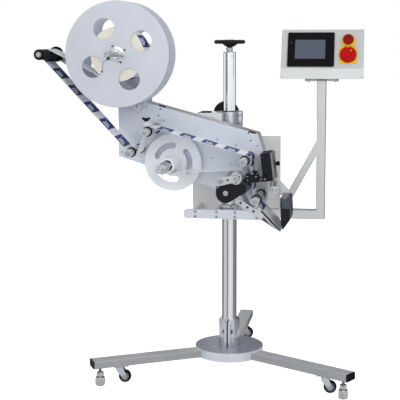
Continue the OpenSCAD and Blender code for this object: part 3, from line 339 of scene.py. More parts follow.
class Shape:
    """The mesh of one piece, put together from parts that each have a paint."""

    def __init__(self):
        self.mesh = bmesh.new()
        self.paints = []

    def _add(self, part, paint, place=Matrix.Identity(4)):
        if paint not in self.paints:
            self.paints.append(paint)
        bmesh.ops.transform(part, matrix=place, verts=part.verts)
        bmesh.ops.recalc_face_normals(part, faces=part.faces)
        for face in part.faces:
            face.material_index = self.paints.index(paint)
            face.smooth = True
        carrier = bpy.data.meshes.new("part")
        part.to_mesh(carrier)
        part.free()
        self.mesh.from_mesh(carrier)
        bpy.data.meshes.remove(carrier)
        return self

    def solid(self, node, paint, chamfer, segments=2):
        """A CAD node's own shape with its edges broken."""
        part = bmesh.new()
        part.from_mesh(cad[node].data)
        to_mm = Matrix.Scale(1 / MM, 4) @ Matrix.Translation(-FOOT)
        bmesh.ops.transform(part, matrix=to_mm, verts=part.verts)
        bmesh.ops.remove_doubles(part, verts=part.verts, dist=0.01)
        bmesh.ops.dissolve_limit(part, angle_limit=radians(1), verts=part.verts, edges=part.edges)
        edges = [e for e in part.edges if len(e.link_faces) == 2 and e.calc_face_angle() > SHARP]
        break_edges(part, edges, chamfer, segments)
        return self._add(part, paint)

    def turned(self, place, profile, paint, steps=48, lobes=(0, 0)):
        """Turns (radius, height) points about the place's axis, as a ring where they don't start on it.

        A third value makes that ring a polygon. Lobes are their number and their depth.
        """
        part = bmesh.new()
        rings = []
        for radius, height, *sides in profile:
            ring = []
            for k in range(steps if radius else 1):
                a = TURN * k / steps
                r = radius + lobes[1] * cos(lobes[0] * a) if radius else 0
                if sides:
                    half = pi / sides[0]
                    r *= cos(half) / cos(a % (2 * half) - half)
                ring.append(part.verts.new((r * cos(a), r * sin(a), height)))
            rings.append(ring)
        skin(part, rings, closed=profile[0][0] > 0)
        return self._add(part, paint, place)

    def bar(self, place, radius, length, paint, chamfer=0.6, steps=32):
        half = [(0, 0), (radius - chamfer, 0), (radius, chamfer)]
        return self.turned(place, mirrored(half, length), paint, steps)

    def ring(self, place, outer, inner, length, paint, chamfer=0.6, steps=48):
        half = [(inner, 0), (outer - chamfer, 0), (outer, chamfer)]
        return self.turned(place, mirrored(half, length), paint, steps)

    def plate(self, place, outline, thickness, paint, holes=(), chamfer=0.5):
        """Extrudes an outline with holes along the place's axis, with its edges broken."""
        part = bmesh.new()
        caps = ([], [])
        for number, loop in enumerate((outline, *holes)):
            loop = [Vector(point) for point in loop]
            if (area(loop) > 0) != (number == 0):
                loop.reverse()
            inner = moved_in(loop, chamfer)
            layers = ((inner, 0), (loop, chamfer), (loop, thickness - chamfer), (inner, thickness))
            rings = [[part.verts.new((p.x, p.y, z)) for p in points] for points, z in layers]
            skin(part, rings)
            for cap, ring in zip(caps, (rings[0], rings[-1])):
                cap += [part.edges.get((ring[k - 1], ring[k])) for k in range(len(ring))]
        for cap in caps:
            bmesh.ops.triangle_fill(part, use_beauty=True, use_dissolve=True, edges=cap)
        return self._add(part, paint, place)

    def block(self, place, size, paint, chamfer=0.8, segments=2):
        """A block round the place's origin."""
        part = bmesh.new()
        bmesh.ops.create_cube(part, size=1, matrix=Matrix.Diagonal((*size, 1)))
        break_edges(part, part.edges[:], chamfer, segments)
        return self._add(part, paint, place)

    def screw(self, place, radius, height, paint="steel"):
        """A socket-head screw that stands on the place's plane."""
        edge = radius * 0.14
        socket = radius * 0.56
        profile = [(0, 0), (radius, 0), (radius, height - edge), (radius - edge, height), (socket, height, 6),
                   (socket, height * 0.45, 6), (0, height * 0.4)]
        return self.turned(place, profile, paint, 24)

    def screws_round(self, turn, centre, y, reach, angles, *screw):
        """Screws round an axis that runs along y, at angles in degrees."""
        for x, z in (polar(centre, reach, angle) for angle in angles):
            self.screw(turn(x, y, z), *screw)

    def sweep(self, points, radius, paint, steps=12):
        """A round rod that follows points."""
        part = bmesh.new()
        points = [Vector(p) for p in points]
        rings = []
        side = None
        for i, point in enumerate(points):
            along = (points[min(i + 1, len(points) - 1)] - points[max(i - 1, 0)]).normalized()
            side = along.orthogonal() if side is None else side - along * side.dot(along)
            side.normalize()
            other = along.cross(side)
            rings.append([part.verts.new(point + radius * (cos(a) * side + sin(a) * other))
                          for a in (TURN * k / steps for k in range(steps))])
        skin(part, rings, ends=True)
        return self._add(part, paint)

    def ribbon(self, path, start, end, front, back, lift, thickness, paint):
        """A thin sheet on a path, from start to end along it and from front to back across it."""
        part = bmesh.new()
        rings = []
        for place in path.places(start, end, 12.0):
            point, normal = path.at(place)
            inner = point + lift * normal
            outer = point + (lift + thickness) * normal
            rings.append([part.verts.new((p.x, y, p.y)) for p, y in
                          ((inner, front), (inner, back), (outer, back), (outer, front))])
        skin(part, rings, ends=True)
        return self._add(part, paint)

    def done(self, name, body, slot, *replaced, even=True):
        """Makes the object, which rides on a body and stands for the CAD nodes named last."""
        mesh = bpy.data.meshes.new(name)
        to_row = Matrix.Translation(FOOT) @ Matrix.Scale(MM, 4)
        bmesh.ops.transform(self.mesh, matrix=to_row, verts=self.mesh.verts)
        self.mesh.to_mesh(mesh)
        self.mesh.free()
        for paint in self.paints:
            mesh.materials.append(PAINTS[paint])
        mesh.set_sharp_from_angle(angle=SHARP)
        piece = bpy.data.objects.new(name, mesh)
        bpy.context.scene.collection.objects.link(piece)
        if even:
            flat = piece.modifiers.new("even_faces", "WEIGHTED_NORMAL")
            flat.keep_sharp = True
        if body:
            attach(piece, body)
        if replaced:
            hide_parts(*replaced)
        return piece


# Routes of the web

class Path:
    """A line of points in x and z with places counted along it."""

    def __init__(self, points):
        self.points = points
        self.marks = [0.0]
        for before, after in zip(points, points[1:]):
            self.marks.append(self.marks[-1] + (after - before).length)
        self.length = self.marks[-1]
        headings = [(after - before).normalized() for before, after in zip(points, points[1:])]
        self.lefts = []
        for before, after in zip([headings[0]] + headings, headings + [headings[-1]]):
            both = (before + after).normalized()
            self.lefts.append(Vector((-both.y, both.x)))

    def at(self, place):
        """The point at a distance along the line, and the direction to the left of travel there."""
        place = min(max(place, 0.0), self.length)
        i = max(k for k in range(len(self.points) - 1) if self.marks[k] <= place or k == 0)
        share = (place - self.marks[i]) / (self.marks[i + 1] - self.marks[i])
        return self.points[i].lerp(self.points[i + 1], share), self.lefts[i].lerp(self.lefts[i + 1], share)

    def places(self, start, end, step):
        """Places from start to end, with every point of the line between them and none far apart."""
        found = [start] + [mark for mark in self.marks if start < mark < end] + [end]
        spaced = [start]
        for before, after in zip(found, found[1:]):
            count = max(1, ceil((after - before) / step))
            spaced += [before + (after - before) * k / count for k in range(1, count + 1)]
        return spaced


def run_heading(a, b):
    """Heading of the straight run that touches two rollers, each (centre, radius, side)."""
    d = b[0] - a[0]
    return atan2(d.y, d.x) - asin((b[2] * b[1] - a[2] * a[1]) / d.length)


def touch(roller, heading):
    centre, radius, side = roller
    return centre - side * radius * Vector((-sin(heading), cos(heading)))


def route(*rollers, step=0.12):
    """The web's line round rollers, from the first to the last. Side 1 has the roller on the left."""
    headings = [run_heading(a, b) for a, b in zip(rollers, rollers[1:])]
    points = [touch(rollers[0], headings[0])]
    for roller, before, after in zip(rollers[1:], headings, headings[1:]):
        points.append(touch(roller, before))
        swing = (after - before) % TURN
        if roller[2] < 0 and swing:
            swing -= TURN
        count = max(1, ceil(abs(swing) / step))
        points += [touch(roller, before + swing * k / count) for k in range(1, count + 1)]
    points.append(touch(rollers[-1], headings[-1]))
    return Path(points)


WEB_FRONT, WEB_BACK = (corner.y for corner in box_of("label_roll"))
TRAY_FRONT, TRAY_BACK = (corner.y for corner in box_of("main_plate"))
REEL = axis_of("reel_discs")
DANCER = axis_of("dancer_roller")
GUIDES = {place: axis_of(place + "_roller") for place in
          ("lower_left", "upper_left", "upper_right", "lower_right")}
DRIVE = axis_of("drive_roller")
PINCH = axis_of("pinch_roller")
REWIND = axis_of("rewind_reel")
MOTOR = axis_of("drive_motor")
TURN_BAR = Vector((128, 738))
TIP = Vector((241, 660))
WEB_W = WEB_BACK - WEB_FRONT
WEB_T = 0.6
WEB_OFF = 0.7
ROLL_R = 103
GUIDE_R = 15
LINER_R = 29


def roller(centre, radius, side):
    return centre, radius + WEB_OFF, side


ON_DANCER = roller(DANCER, 20, 1)
ON_LOW_LEFT = roller(GUIDES["lower_left"], GUIDE_R, 1)
ON_LOW_RIGHT = roller(GUIDES["lower_right"], GUIDE_R, 1)
ON_TIP = roller(TIP, 3, -1)
LOOP = route(roller(REEL, ROLL_R, -1), ON_DANCER, ON_LOW_LEFT)
LABELS = route(ON_DANCER, ON_LOW_LEFT, roller(GUIDES["upper_left"], GUIDE_R, -1),
               roller(GUIDES["upper_right"], GUIDE_R, -1), ON_LOW_RIGHT, ON_TIP)
LINER = route(ON_LOW_RIGHT, ON_TIP, roller(TURN_BAR, 9, -1), roller(DRIVE, 22, -1), roller(PINCH, 22.5, 1),
              roller(REWIND, LINER_R, -1))
LABELS_FROM = (LOOP.points[-1] - LABELS.points[0]).length
LINER_FROM = (LABELS.points[-1] - LINER.points[0]).length

LABEL_PITCH = 88
LABEL_L = 84
LABEL_PHASE = -13

# The print on a label: shares of its length, shares of the web's width, layer and paint
PRINT = ((0.0, 1.0, 0.02, 0.98, 0, "label"), (0.12, 0.76, 0.05, 0.95, 1, "navy"),
         (0.3, 0.66, 0.2, 0.34, 2, "label"), (0.3, 0.58, 0.44, 0.54, 2, "label"),
         (0.2, 0.3, 0.7, 0.84, 2, "sky"))


def print_label(shape, path, start, low, paper=0.3):
    """A white label with a navy field, two bars and a small square, laid on the left of the path."""
    for begin, end, near, far, level, paint in PRINT:
        first, last = max(low, start + begin * LABEL_L), min(path.length, start + end * LABEL_L)
        if last > first + 1:
            shape.ribbon(path, first, last, WEB_FRONT + near * WEB_W, WEB_FRONT + far * WEB_W,
                         paper + level * 0.08, 0.1, paint)


def web(path, start, labels, label_start=0):
    """A run of liner from a place on its path, with labels that begin at some places."""
    shape = Shape().ribbon(path, start, path.length, WEB_FRONT, WEB_BACK, -WEB_T / 2, WEB_T, "liner")
    for place in labels:
        print_label(shape, path, place, label_start)
    return shape


def webs():
    count = ceil((LOOP.length + LABEL_PHASE) / LABEL_PITCH)
    places = [LOOP.length + LABEL_PHASE - LABEL_PITCH * k for k in range(count)]
    loop = web(LOOP, 0, places, 4).done("web_over_dancer", None, "label_paper", "web_loop", even=False)
    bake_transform(loop)
    first = LABELS_FROM + LABEL_PHASE
    count = ceil((LABELS.length - LABEL_L - first) / LABEL_PITCH)
    places = [first + LABEL_PITCH * k for k in range(count)]
    web(LABELS, LABELS_FROM, places, LABELS_FROM).done("web_with_labels", "head", "label_paper", "label_web")
    web(LINER, LINER_FROM, []).done("bare_liner", "head", "label_paper", "liner_web")


def plain(node, paint, chamfer, name, body, slot):
    """A piece that is a CAD node with its edges broken."""
    Shape().solid(node, paint, chamfer).done(name, body, slot, node)


# Base

BASE_TOP = box_of("base_plate")[1].z
LEG_LOW, LEG_TOP = (corner.z for corner in box_of("leg_left"))
LEG_W = 60
LEG_START = 50
LEG_END = 585
FOOT_REACH = 555
CASTER_REACH = 472
TRAIL = 20
AXLE_Z = 30
PINCH_BOLT = (-50, 176)
NUT = [(0, 0), (6, 0, 6), (6, 1.6, 6), (5, 2), (0, 2)]


def base():
    plain("base_plate", "base", 1.6, "base_disc", "base", "base_grey")
    height = LEG_TOP - LEG_LOW
    length = LEG_END - LEG_START
    out = up_at(LEG_START, 0, (LEG_TOP + LEG_LOW) / 2) @ spun("Z", 90) @ spun("X", 90)
    caps = Shape()
    screws = Shape()
    for side, angle in LEG_ANGLES.items():
        turn = spun("Z", angle)
        leg = Shape().plate(turn @ out, rounded(LEG_W, height, 3.5), length, "leg_" + side, chamfer=0.4)
        leg.done("leg_tube_" + side, "base", "brushed_tube", "leg_" + side)
        caps.plate(turn @ up_at(length, 0, 0) @ out, rounded(LEG_W - 0.4, height - 0.4, 3.2), 5, "rubber",
                   chamfer=1.2)
        for x, y in ((68, 20), (120, 8)):
            screws.screw(turn @ up_at(x, y, BASE_TOP), 4.6, 3, "zinc")
    caps.done("leg_caps", "base", "black_plastic", "leg_end_caps")
    for side, turn in ((1, right_at), (-1, left_at)):
        screws.ring(turn(side * 13.5, *PINCH_BOLT), 8, 4.2, 1, "steel", 0.2)
        screws.screw(turn(side * 14.5, *PINCH_BOLT), 7, 6, "dark_steel")
    screws.bar(right_at(-13.5, *PINCH_BOLT), 4, 27, "steel")
    screws.done("base_screw_set", "base", "screw_steel", "base_screws")
    top = box_of("base_clamp")[1].z
    collar = Shape().solid("base_clamp", "collar", 1.0)
    collar.block(up_at(0, -44, (BASE_TOP + top) / 2), (3.6, 20, top - BASE_TOP - 2), "rubber", 0.4)
    collar.done("base_collar", "base", "light_alloy", "base_clamp")


def foot(side, angle):
    place = spun("Z", angle) @ up_at(FOOT_REACH, 0, 0)
    pad_r, nut_r = 35 / sqrt(3), 26 / sqrt(3)
    shape = Shape().turned(place, [
        (0, 0), (15.5, 0), (17, 1.5), (17, 3), (pad_r, 5, 6), (pad_r, 30, 6), (16.5, 34), (0, 34)], "foot")
    shape.turned(place, [(0, 34), (9, 34), (9, 38), (0, 38)], "foot", 32)
    nut = [(6.2, 38), (12.5, 38), (nut_r, 40, 6)]
    shape.turned(place, mirrored(nut, 92), "foot")
    pitch = 1.75
    thread = [(0, 34)]
    for k in range(30):
        thread += [(6.0, 40 + k * pitch), (5.2, 40 + (k + 0.5) * pitch)]
    shape.turned(place, thread + [(0, 97)], "steel", 20)
    shape.done("levelling_foot_" + side, "foot_" + side, "foot_steel", "foot_" + side)


def caster(side, angle):
    place = spun("Z", angle) @ up_at(CASTER_REACH, 0, 0)
    plate_low = LEG_LOW - 3
    corners = [(sx * 23, sy * 15) for sx in (-1, 1) for sy in (-1, 1)]
    holes = [circle(4.1)] + [capsule((x - 2, y), (x + 2, y), 3.2, 3.2) for x, y in corners]
    mount = Shape().plate(place @ up_at(0, 0, plate_low), rounded(64, 46, 6), 3, "zinc", holes)
    for x, y in corners:
        mount.turned(place @ up_at(x, y, plate_low) @ spun("X", 180),
                     [(0, 0), (5.8, 0, 6), (5.8, 3, 6), (5, 3.6), (0, 3.6)], "steel", 24)
    mount.done("caster_mount_" + side, "base", "zinc", *(["caster_plates"] if side == "left" else []))
    x, y = polar((0, 0), CASTER_REACH, angle)
    axle_x = x + TRAIL
    yoke = Shape().turned(up_at(x, y, 64.5), [
        (0, 0), (15, 0), (17, 1.6), (17, 3.4), (15.4, 4.6), (15.4, 5.4), (14, 7.2), (4, 7.2), (4, 10.4),
        (0, 10.4)], "zinc")
    cheek = [(p.x, min(p.y, 66.5)) for p in capsule((TRAIL, AXLE_Z), (0, 60.5), 9, 15)]
    for back in (-10, 12.5):
        yoke.plate(front_at(x, y + back, 0), cheek, 2.5, "zinc")
    yoke.block(up_at(x, y, 65.6), (29, 24.6, 2), "zinc", 0.6)
    yoke.bar(front_at(axle_x, y + 12.5, AXLE_Z), 3.9, 25, "steel")
    for face, turn in ((-12.5, front_at), (12.5, back_at)):
        yoke.turned(turn(axle_x, y + face, AXLE_Z), NUT, "steel", 24)
    yoke.done("caster_yoke_" + side, "caster_" + side, "zinc", "caster_fork_" + side)
    wheel = Shape()
    hub = front_at(axle_x, y + 9, AXLE_Z)
    wheel.turned(hub, mirrored([(17, 0.6), (18, 0), (22.4, 0), (24.2, 1.4), (25, 4)], 18), "rubber", 64)
    wheel.turned(hub, mirrored([(4.1, 0), (7, 0), (8, 2), (15, 3), (17.1, 2)], 18), "fin")
    wheel.done("caster_tyre_" + side, "wheel_" + side, "black_rubber", "caster_wheel_" + side)


# Column

RIM_Z = 1361
HUB_Z = 1338


def column():
    plain("lower_tube", "tube", 0.8, "lower_column", "base", "chrome_tube")
    tube = Shape().solid("upper_tube", "tube", 0.8)
    for angle in (-60, 60, 180):
        tube.turned(spun("Z", angle) @ right_at(24.6, 0, 1303),
                    [(0, 0), (2.6, 0), (2.4, 0.9), (1.4, 0.9, 6), (1.4, 0.3, 6), (0, 0.3)], "dark_steel", 24)
    tube.done("upper_column", "head", "chrome_tube", "upper_tube")
    plain("guide_bush", "bronze", 0.4, "column_bush", "base", "bronze")
    plain("screw_post", "steel", 0.5, "nut_post", "base", "foot_steel")
    plain("top_plug", "alloy", 0.6, "column_plug", "head", "light_alloy")
    screw = Shape().bar(up_at(0, 0, 600), 8, 768.5, "steel", 1)
    screw.ring(up_at(0, 0, 1289.7), 14, 8.1, 8, "steel")
    screw.ring(up_at(0, 0, 1321.4), 13, 8.1, 5, "alloy", 1)
    screw.turned(up_at(0, 0, 1327), [(8.1, 0), (14.5, 0.8, 6), (14.5, 9.4, 6), (8.1, 10.4)], "steel")
    screw.done("lift_spindle", "lift_screw", "screw_steel", "lead_screw")
    wheel = Shape()
    rim = [(54.5 + 8.5 * cos(a), 8.0 * sin(a)) for a in (TURN * k / 20 for k in range(20))]
    wheel.turned(up_at(0, 0, RIM_Z), rim, "black", 96, lobes=(24, 0.35))
    for angle in (30, 150, 270):
        spoke = ((8, -11), (30, -7), (50, -8), (50, 8), (30, 7), (8, 11))
        wheel.plate(spun("Z", angle) @ up_at(0, 0, RIM_Z - 4), spoke, 8, "black", chamfer=2)
        rib = ((9, 1342), (17, 1342), (36, 1354), (36, 1358), (9, 1358))
        wheel.plate(spun("Z", angle) @ front_at(0, 5, 0), rib, 10, "black", chamfer=1.6)
    wheel.turned(up_at(0, 0, HUB_Z), [(8.05, 0), (12, 0), (12.6, 6), (16, 12), (21, 17), (23, 21), (22, 27),
                                      (18, 31), (11, 31.5), (8.05, 31.5)], "black")
    for angle in (90, 210, 330):
        wheel.screw(spun("Z", angle) @ up_at(15, 0, HUB_Z + 30.6), 2.6, 2, "foot")
    wheel.turned(up_at(0, 0, HUB_Z + 28.2), [(0, 0), (11, 0), (11, 3.2), (9.6, 4), (0, 4.2)], "steel", 32)
    wheel.done("hand_wheel", "lift_screw", "black_plastic", "handwheel")


# Head frame

LUG_X = 45
BAR_FRONT = -110
RIB_BACK = 56
CLAMP_TOP = 1081
KNOB = (-24, 1064)
PLATE_SCREWS = ((54, 963), (-18, 985), (-40, 912), (33, 891), (-300, 1108), (139, 962), (-398, 930),
                (-398, 1120))
PLATE_HOLES = ((103, 1011), (112, 982), (-243, 1101), (-251, 1075))
PLATE_SLOTS = ((-235, 1112), (118, 1014))


def head_frame():
    clamp = Shape().solid("upper_clamp", "cast", 1.2)
    clamp.ring(up_at(0, 0, CLAMP_TOP), 30, 25.06, 3, "black", 0.8)
    clamp.turned(up_at(-80, TRAY_BACK + 24, CLAMP_TOP), [(0, -1), (22, -1), (22, 2.6), (19, 5.4), (0, 6.4)],
                 "black", 64)
    clamp.done("upper_collar", "head", "light_alloy", "upper_clamp")
    knob = Shape()
    x, z = KNOB
    knob.turned(back_at(x, 70, z), [
        (0, -2), (20, -2), (22, 0), (48, 0), (53, 2), (55, 6), (55, 12), (53, 16), (48, 18), (42, 17),
        (38, 12), (24, 11), (20, 15), (18.5, 32), (16, 34), (0, 34.4)], "black", 96)
    knob.bar(back_at(x, 27, z), 5.9, 43, "steel")
    knob.done("clamp_hand_knob", "clamp_knob", "black_plastic", "rear_knob")
    plain("front_bar", "bar", 1.0, "front_crossbar", "head", "pale_plate")
    plain("frame_ribs", "alloy", 0.8, "cross_ribs", "head", "light_alloy")
    plain("back_plate", "warm", 0.8, "rear_plate", "head", "warm_plate")
    screws = Shape()
    for x in (-124, -37, 37, 125):
        for z in (664, 683):
            screws.screw(front_at(x, BAR_FRONT, z), 5, 4)
            screws.bar(back_at(x, BAR_FRONT, z), 2.9, 40, "steel")
            screws.screw(back_at(x, RIB_BACK, z), 5, 4, "dark_steel")
    for z in (1035, 1066):
        screws.screw(front_at(LUG_X, -16, z), 4.6, 3)
        screws.bar(back_at(LUG_X, -16, z), 2.9, 32, "steel")
        screws.screw(back_at(LUG_X, 16, z), 6, 4, "dark_steel")
    for x in (-32, 30):
        screws.screw(back_at(x, RIB_BACK, 1035), 6, 4.5, "dark_steel")
    screws.done("frame_screw_set", "head", "screw_steel", "head_screws")
    plate = Shape().solid("main_plate", "plate", 1.2)
    for x, z in PLATE_SCREWS:
        plate.screw(front_at(x, TRAY_FRONT, z), 3.4, 1.2)
    for x, z in PLATE_HOLES:
        plate.bar(front_at(x, TRAY_FRONT + 3.4, z), 2.9, 3.2, "rubber", 0.2)
    for x, z in PLATE_SLOTS:
        slot = front_at(x, TRAY_FRONT + 3.4, z) @ spun("Z", -15)
        plate.plate(slot, rounded(27.6, 5.6, 1), 3.2, "rubber", chamfer=0.2)
    plate.done("folded_plate", "head", "pale_plate", "main_plate")
    housing = Shape().solid("bearing_housings", "alloy", 0.6)
    for centre, reach, angles in ((REEL, 27, (45, 135, 225, 315)), (REWIND, 27, (45, 135, 225, 315)),
                                  (DRIVE, 17, (60, 180, 300)), (PINCH, 17, (60, 180, 300))):
        housing.screws_round(front_at, centre, TRAY_FRONT - 6, reach, angles, 2.6, 1.6)
    housing.done("bearing_flanges", "head", "light_alloy", "bearing_housings")


# Supply reel

DISC_FRONT = box_of("reel_discs")[0].y
SHAFT_FRONT, SHAFT_BACK = (corner.y for corner in box_of("reel_shaft"))
HUB_T = 22
CORE_R = 38


def wound(first, start, end, count, groove, every):
    """Profile of a wound roll, whose turns stand in and out a little at both sides."""
    half = [first]
    for k in range(count):
        r = start + (end - start) * (k + 1) / count
        dent = 0.4 if k % every else 0.0
        half += [(r - groove, dent), (r, dent)]
    return mirrored(half, WEB_W)


def supply():
    x, z = REEL
    nose = DISC_FRONT - HUB_T - SHAFT_FRONT
    shape = Shape()
    profile = ended([(0, 0), (11, 0)], [
        (11, 26), (10.2, 25), (10.2, 22), (11, 21), (11, 2), (9.4, 0), (5.5, 0), (5.5, 6), (0, 7)], nose)
    shape.turned(front_at(x, DISC_FRONT - HUB_T, z), profile, "steel", 64)
    shape.bar(front_at(x, SHAFT_BACK, z), 10, SHAFT_BACK - DISC_FRONT, "chrome")
    shape.turned(front_at(x, DISC_FRONT, z), [
        (10.1, 0), (30, 0), (30, 2), (28.6, 3), (19, 3.4), (17.6, 4.6), (17, 6), (17, 20.6), (15.6, HUB_T),
        (10.1, HUB_T)], "chrome", 64)
    shape.screws_round(front_at, REEL, DISC_FRONT, 34, (27, 117, 207, 297), 3.6, 3, "dark_steel")
    shape.screw(up_at(x, DISC_FRONT - 12, z) @ spun("Y", -60) @ up_at(0, 0, 17), 2.6, 2, "dark_steel")
    shape.ring(front_at(x, SHAFT_BACK, z), 16, 10.1, 12, "dark_steel", 0.8)
    shape.bar(front_at(x, WEB_BACK + 2, z), 34, WEB_W + 4, "alloy", 1)
    tip = SHAFT_FRONT + 24
    shape.block(up_at(x + 1, tip, z - 15), (11, 12, 9), "dark_steel", 1)
    lever = ((1, -18), (-9, -21), (-17, -25), (-19, -32), (-21, -48), (-23, -62))
    shape.sweep([(x + dx, tip, z + dz) for dx, dz in lever], 2, "steel")
    shape.bar(front_at(x - 23, tip + 5, z - 62), 3, 10, "dark_steel")
    shape.done("supply_spindle", "supply_reel", "chrome_tube", "reel_shaft")
    plain("reel_discs", "disc", 0.7, "supply_discs", "supply_reel", "pale_plate")
    roll = Shape()
    profile = wound((CORE_R + 0.2, 0.4), CORE_R + 0.2, ROLL_R - 0.4, 21, 1.2, 3)
    roll.turned(front_at(x, WEB_BACK, z), profile, "roll_side", 96)
    roll.ring(front_at(x, WEB_BACK, z), CORE_R, 34.1, WEB_W, "card", 0.5)
    wrap = Path([polar(REEL, ROLL_R - 0.3, -1.5 * k) for k in range(241)])
    roll.ribbon(wrap, 0.5, wrap.length - 0.5, WEB_FRONT + 0.5, WEB_BACK - 0.5, -0.2, 0.3, "liner")
    for k in range(7):
        print_label(roll, wrap, k * wrap.length / 7 + 3, 0, 0.1)
    roll.done("roll_of_labels", "supply_reel", "label_paper", "label_roll")


# Dancer and guide rollers

DANCER_PIVOT = (-332, 1111)
ARM_FRONT = -232


def dancer():
    x, z = DANCER_PIVOT
    arm = Shape().solid("dancer_arm", "alloy", 1.2)
    arm.turned(front_at(x, ARM_FRONT + 2, z), [(0, 0), (13, 0), (13, 1.4), (12, 2), (0, 2)], "plate")
    arm.screw(front_at(x, ARM_FRONT, z), 4, 3)
    arm.done("dancer_lever", "dancer", "light_alloy", "dancer_arm")
    front = WEB_FRONT - 88
    length = ARM_FRONT - front
    x, z = DANCER
    grooves = []
    for k in range(9):
        start = 12 + k * (length - 18) / 9
        grooves += [(20, start), (20, start + 15), (19.3, start + 15.8), (19.3, start + 17.2)]
    shape = Shape()
    profile = ended([(6.1, 0), (28.6, 0), (30, 1.4), (30, 4.6), (28.6, 6), (20.6, 6), (20, 7), *grooves],
                    [(20, 4), (18.6, 0), (11, 0), (11, 1.5), (6.1, 1.5)], length)
    shape.turned(front_at(x, ARM_FRONT, z), profile, "rubber", 64)
    shape.done("dancer_tube", "dancer_roll", "black_rubber", "dancer_roller")
    cap = Shape().turned(front_at(x, front + 1.2, z), [
        (0, 0), (10.4, 0), (10.4, 2.4), (9.4, 3.2), (4, 3.2, 6), (4, 1.6, 6), (0, 1.6)], "steel")
    cap.done("dancer_end_cap", "dancer", "screw_steel")


def guide_roller(side, centre):
    x, z = centre
    front, back = WEB_FRONT - 84, TRAY_FRONT - 10
    length = back - front
    profile = ended([(5.1, 0), (14, 0), (15, 1)], [
        (15, 12), (14.2, 11.2), (14.2, 9.8), (15, 9), (15, 1.5), (13.5, 0), (9.5, 0), (9, 1),
        (5.1, 1)], length)
    shape = Shape().turned(front_at(x, back, z), profile, "tube_alloy", 64)
    for y in (WEB_FRONT - 22, WEB_BACK + 8):
        shape.ring(front_at(x, y, z), 19, 14.9, 8, "rubber", 0.8, 64)
        shape.turned(up_at(x, y - 4, z) @ spun("Y", 25) @ up_at(0, 0, 18.4), [
            (0, 0), (1.9, 0), (1.9, 0.9), (1.1, 0.9, 6), (1.1, 0.3, 6), (0, 0.3)], "steel", 24)
    shape.done("guide_" + side + "_tube", "guide_" + side, "roller_alloy", side + "_roller")
    cap = Shape().turned(front_at(x, front + 1.5, z), [
        (0, 0), (8.4, 0), (8.4, 3.4), (7.6, 4.2), (3, 4.2, 6), (3, 2.4, 6), (0, 2.4)], "steel")
    cap.done("guide_" + side + "_cap", "head", "screw_steel")


# Drive

GUARD_FRONT = box_of("belt_guard")[0].y
AXLE_BACK = TRAY_FRONT + 20


def drive():
    motor = Shape()
    x, z = MOTOR
    start = TRAY_FRONT + 4
    motor.turned(back_at(x, start, z), [
        (0, 0), (26, 0), (27, 1), (27, 12), (25.6, 13), (25.6, 15), (27, 16), (27, 62), (25.6, 63),
        (25.6, 65), (27, 66), (27, 78), (25, 80), (0, 80)], "black", 64)
    motor.bar(front_at(x, start, z), 6, start - GUARD_FRONT - 4, "steel")
    motor.screws_round(back_at, MOTOR, start + 80, 20, (45, 135, 225, 315), 2.6, 2)
    motor.done("web_motor", "head", "black_plastic", "drive_motor")
    shape = Shape()
    x, z = DRIVE
    back = WEB_BACK + 8
    length = back - WEB_FRONT + 8
    profile = ended([(8.1, 0), (16, 0), (20.5, 0), (22, 1.5)], [(22, 1.5), (20.5, 0), (8.1, 0)], length)
    shape.turned(front_at(x, back, z), profile, "grey_rubber", 64)
    shape.bar(back_at(x, GUARD_FRONT + 4, z), 8, AXLE_BACK - GUARD_FRONT - 4, "steel")
    shape.done("drive_tube", "drive_roll", "grey_rubber", "drive_roller")
    shape = Shape()
    x, z = PINCH
    front = WEB_FRONT - 72
    length = back - front
    profile = ended([(0, 0), (21, 0), (22.5, 1.5)], [
        (22.5, 14), (21.6, 13), (21.6, 11), (22.5, 10), (22.5, 1.5), (21, 0), (15, 0), (14, 1.4), (9, 1.4),
        (8, 0), (4.4, 0, 6), (4.4, 4, 6), (0, 4)], length)
    shape.turned(front_at(x, back, z), profile, "tube_alloy", 64)
    shape.bar(back_at(x, back, z), 8, AXLE_BACK - back, "steel")
    angles = [degrees(0.5) + 120 * k for k in range(3)]
    shape.screws_round(front_at, PINCH, front, 17.5, angles, 2.2, 1.2, "dark_steel")
    shape.done("pinch_tube", "pinch_roll", "chrome_tube", "pinch_roller")
    x, z = MOTOR
    guard = Shape().solid("belt_guard", "black", 2.2, 3)
    guard.turned(front_at(x, GUARD_FRONT, z), [(0, 0), (9.5, 0), (9.5, 1), (8.6, 1.6), (0, 1.6)], "steel")
    guard.screw(front_at(x, GUARD_FRONT - 1.6, z), 5.4, 3.4, "foot")
    guard.done("belt_cover", "head", "black_plastic", "belt_guard")


# Rewinder

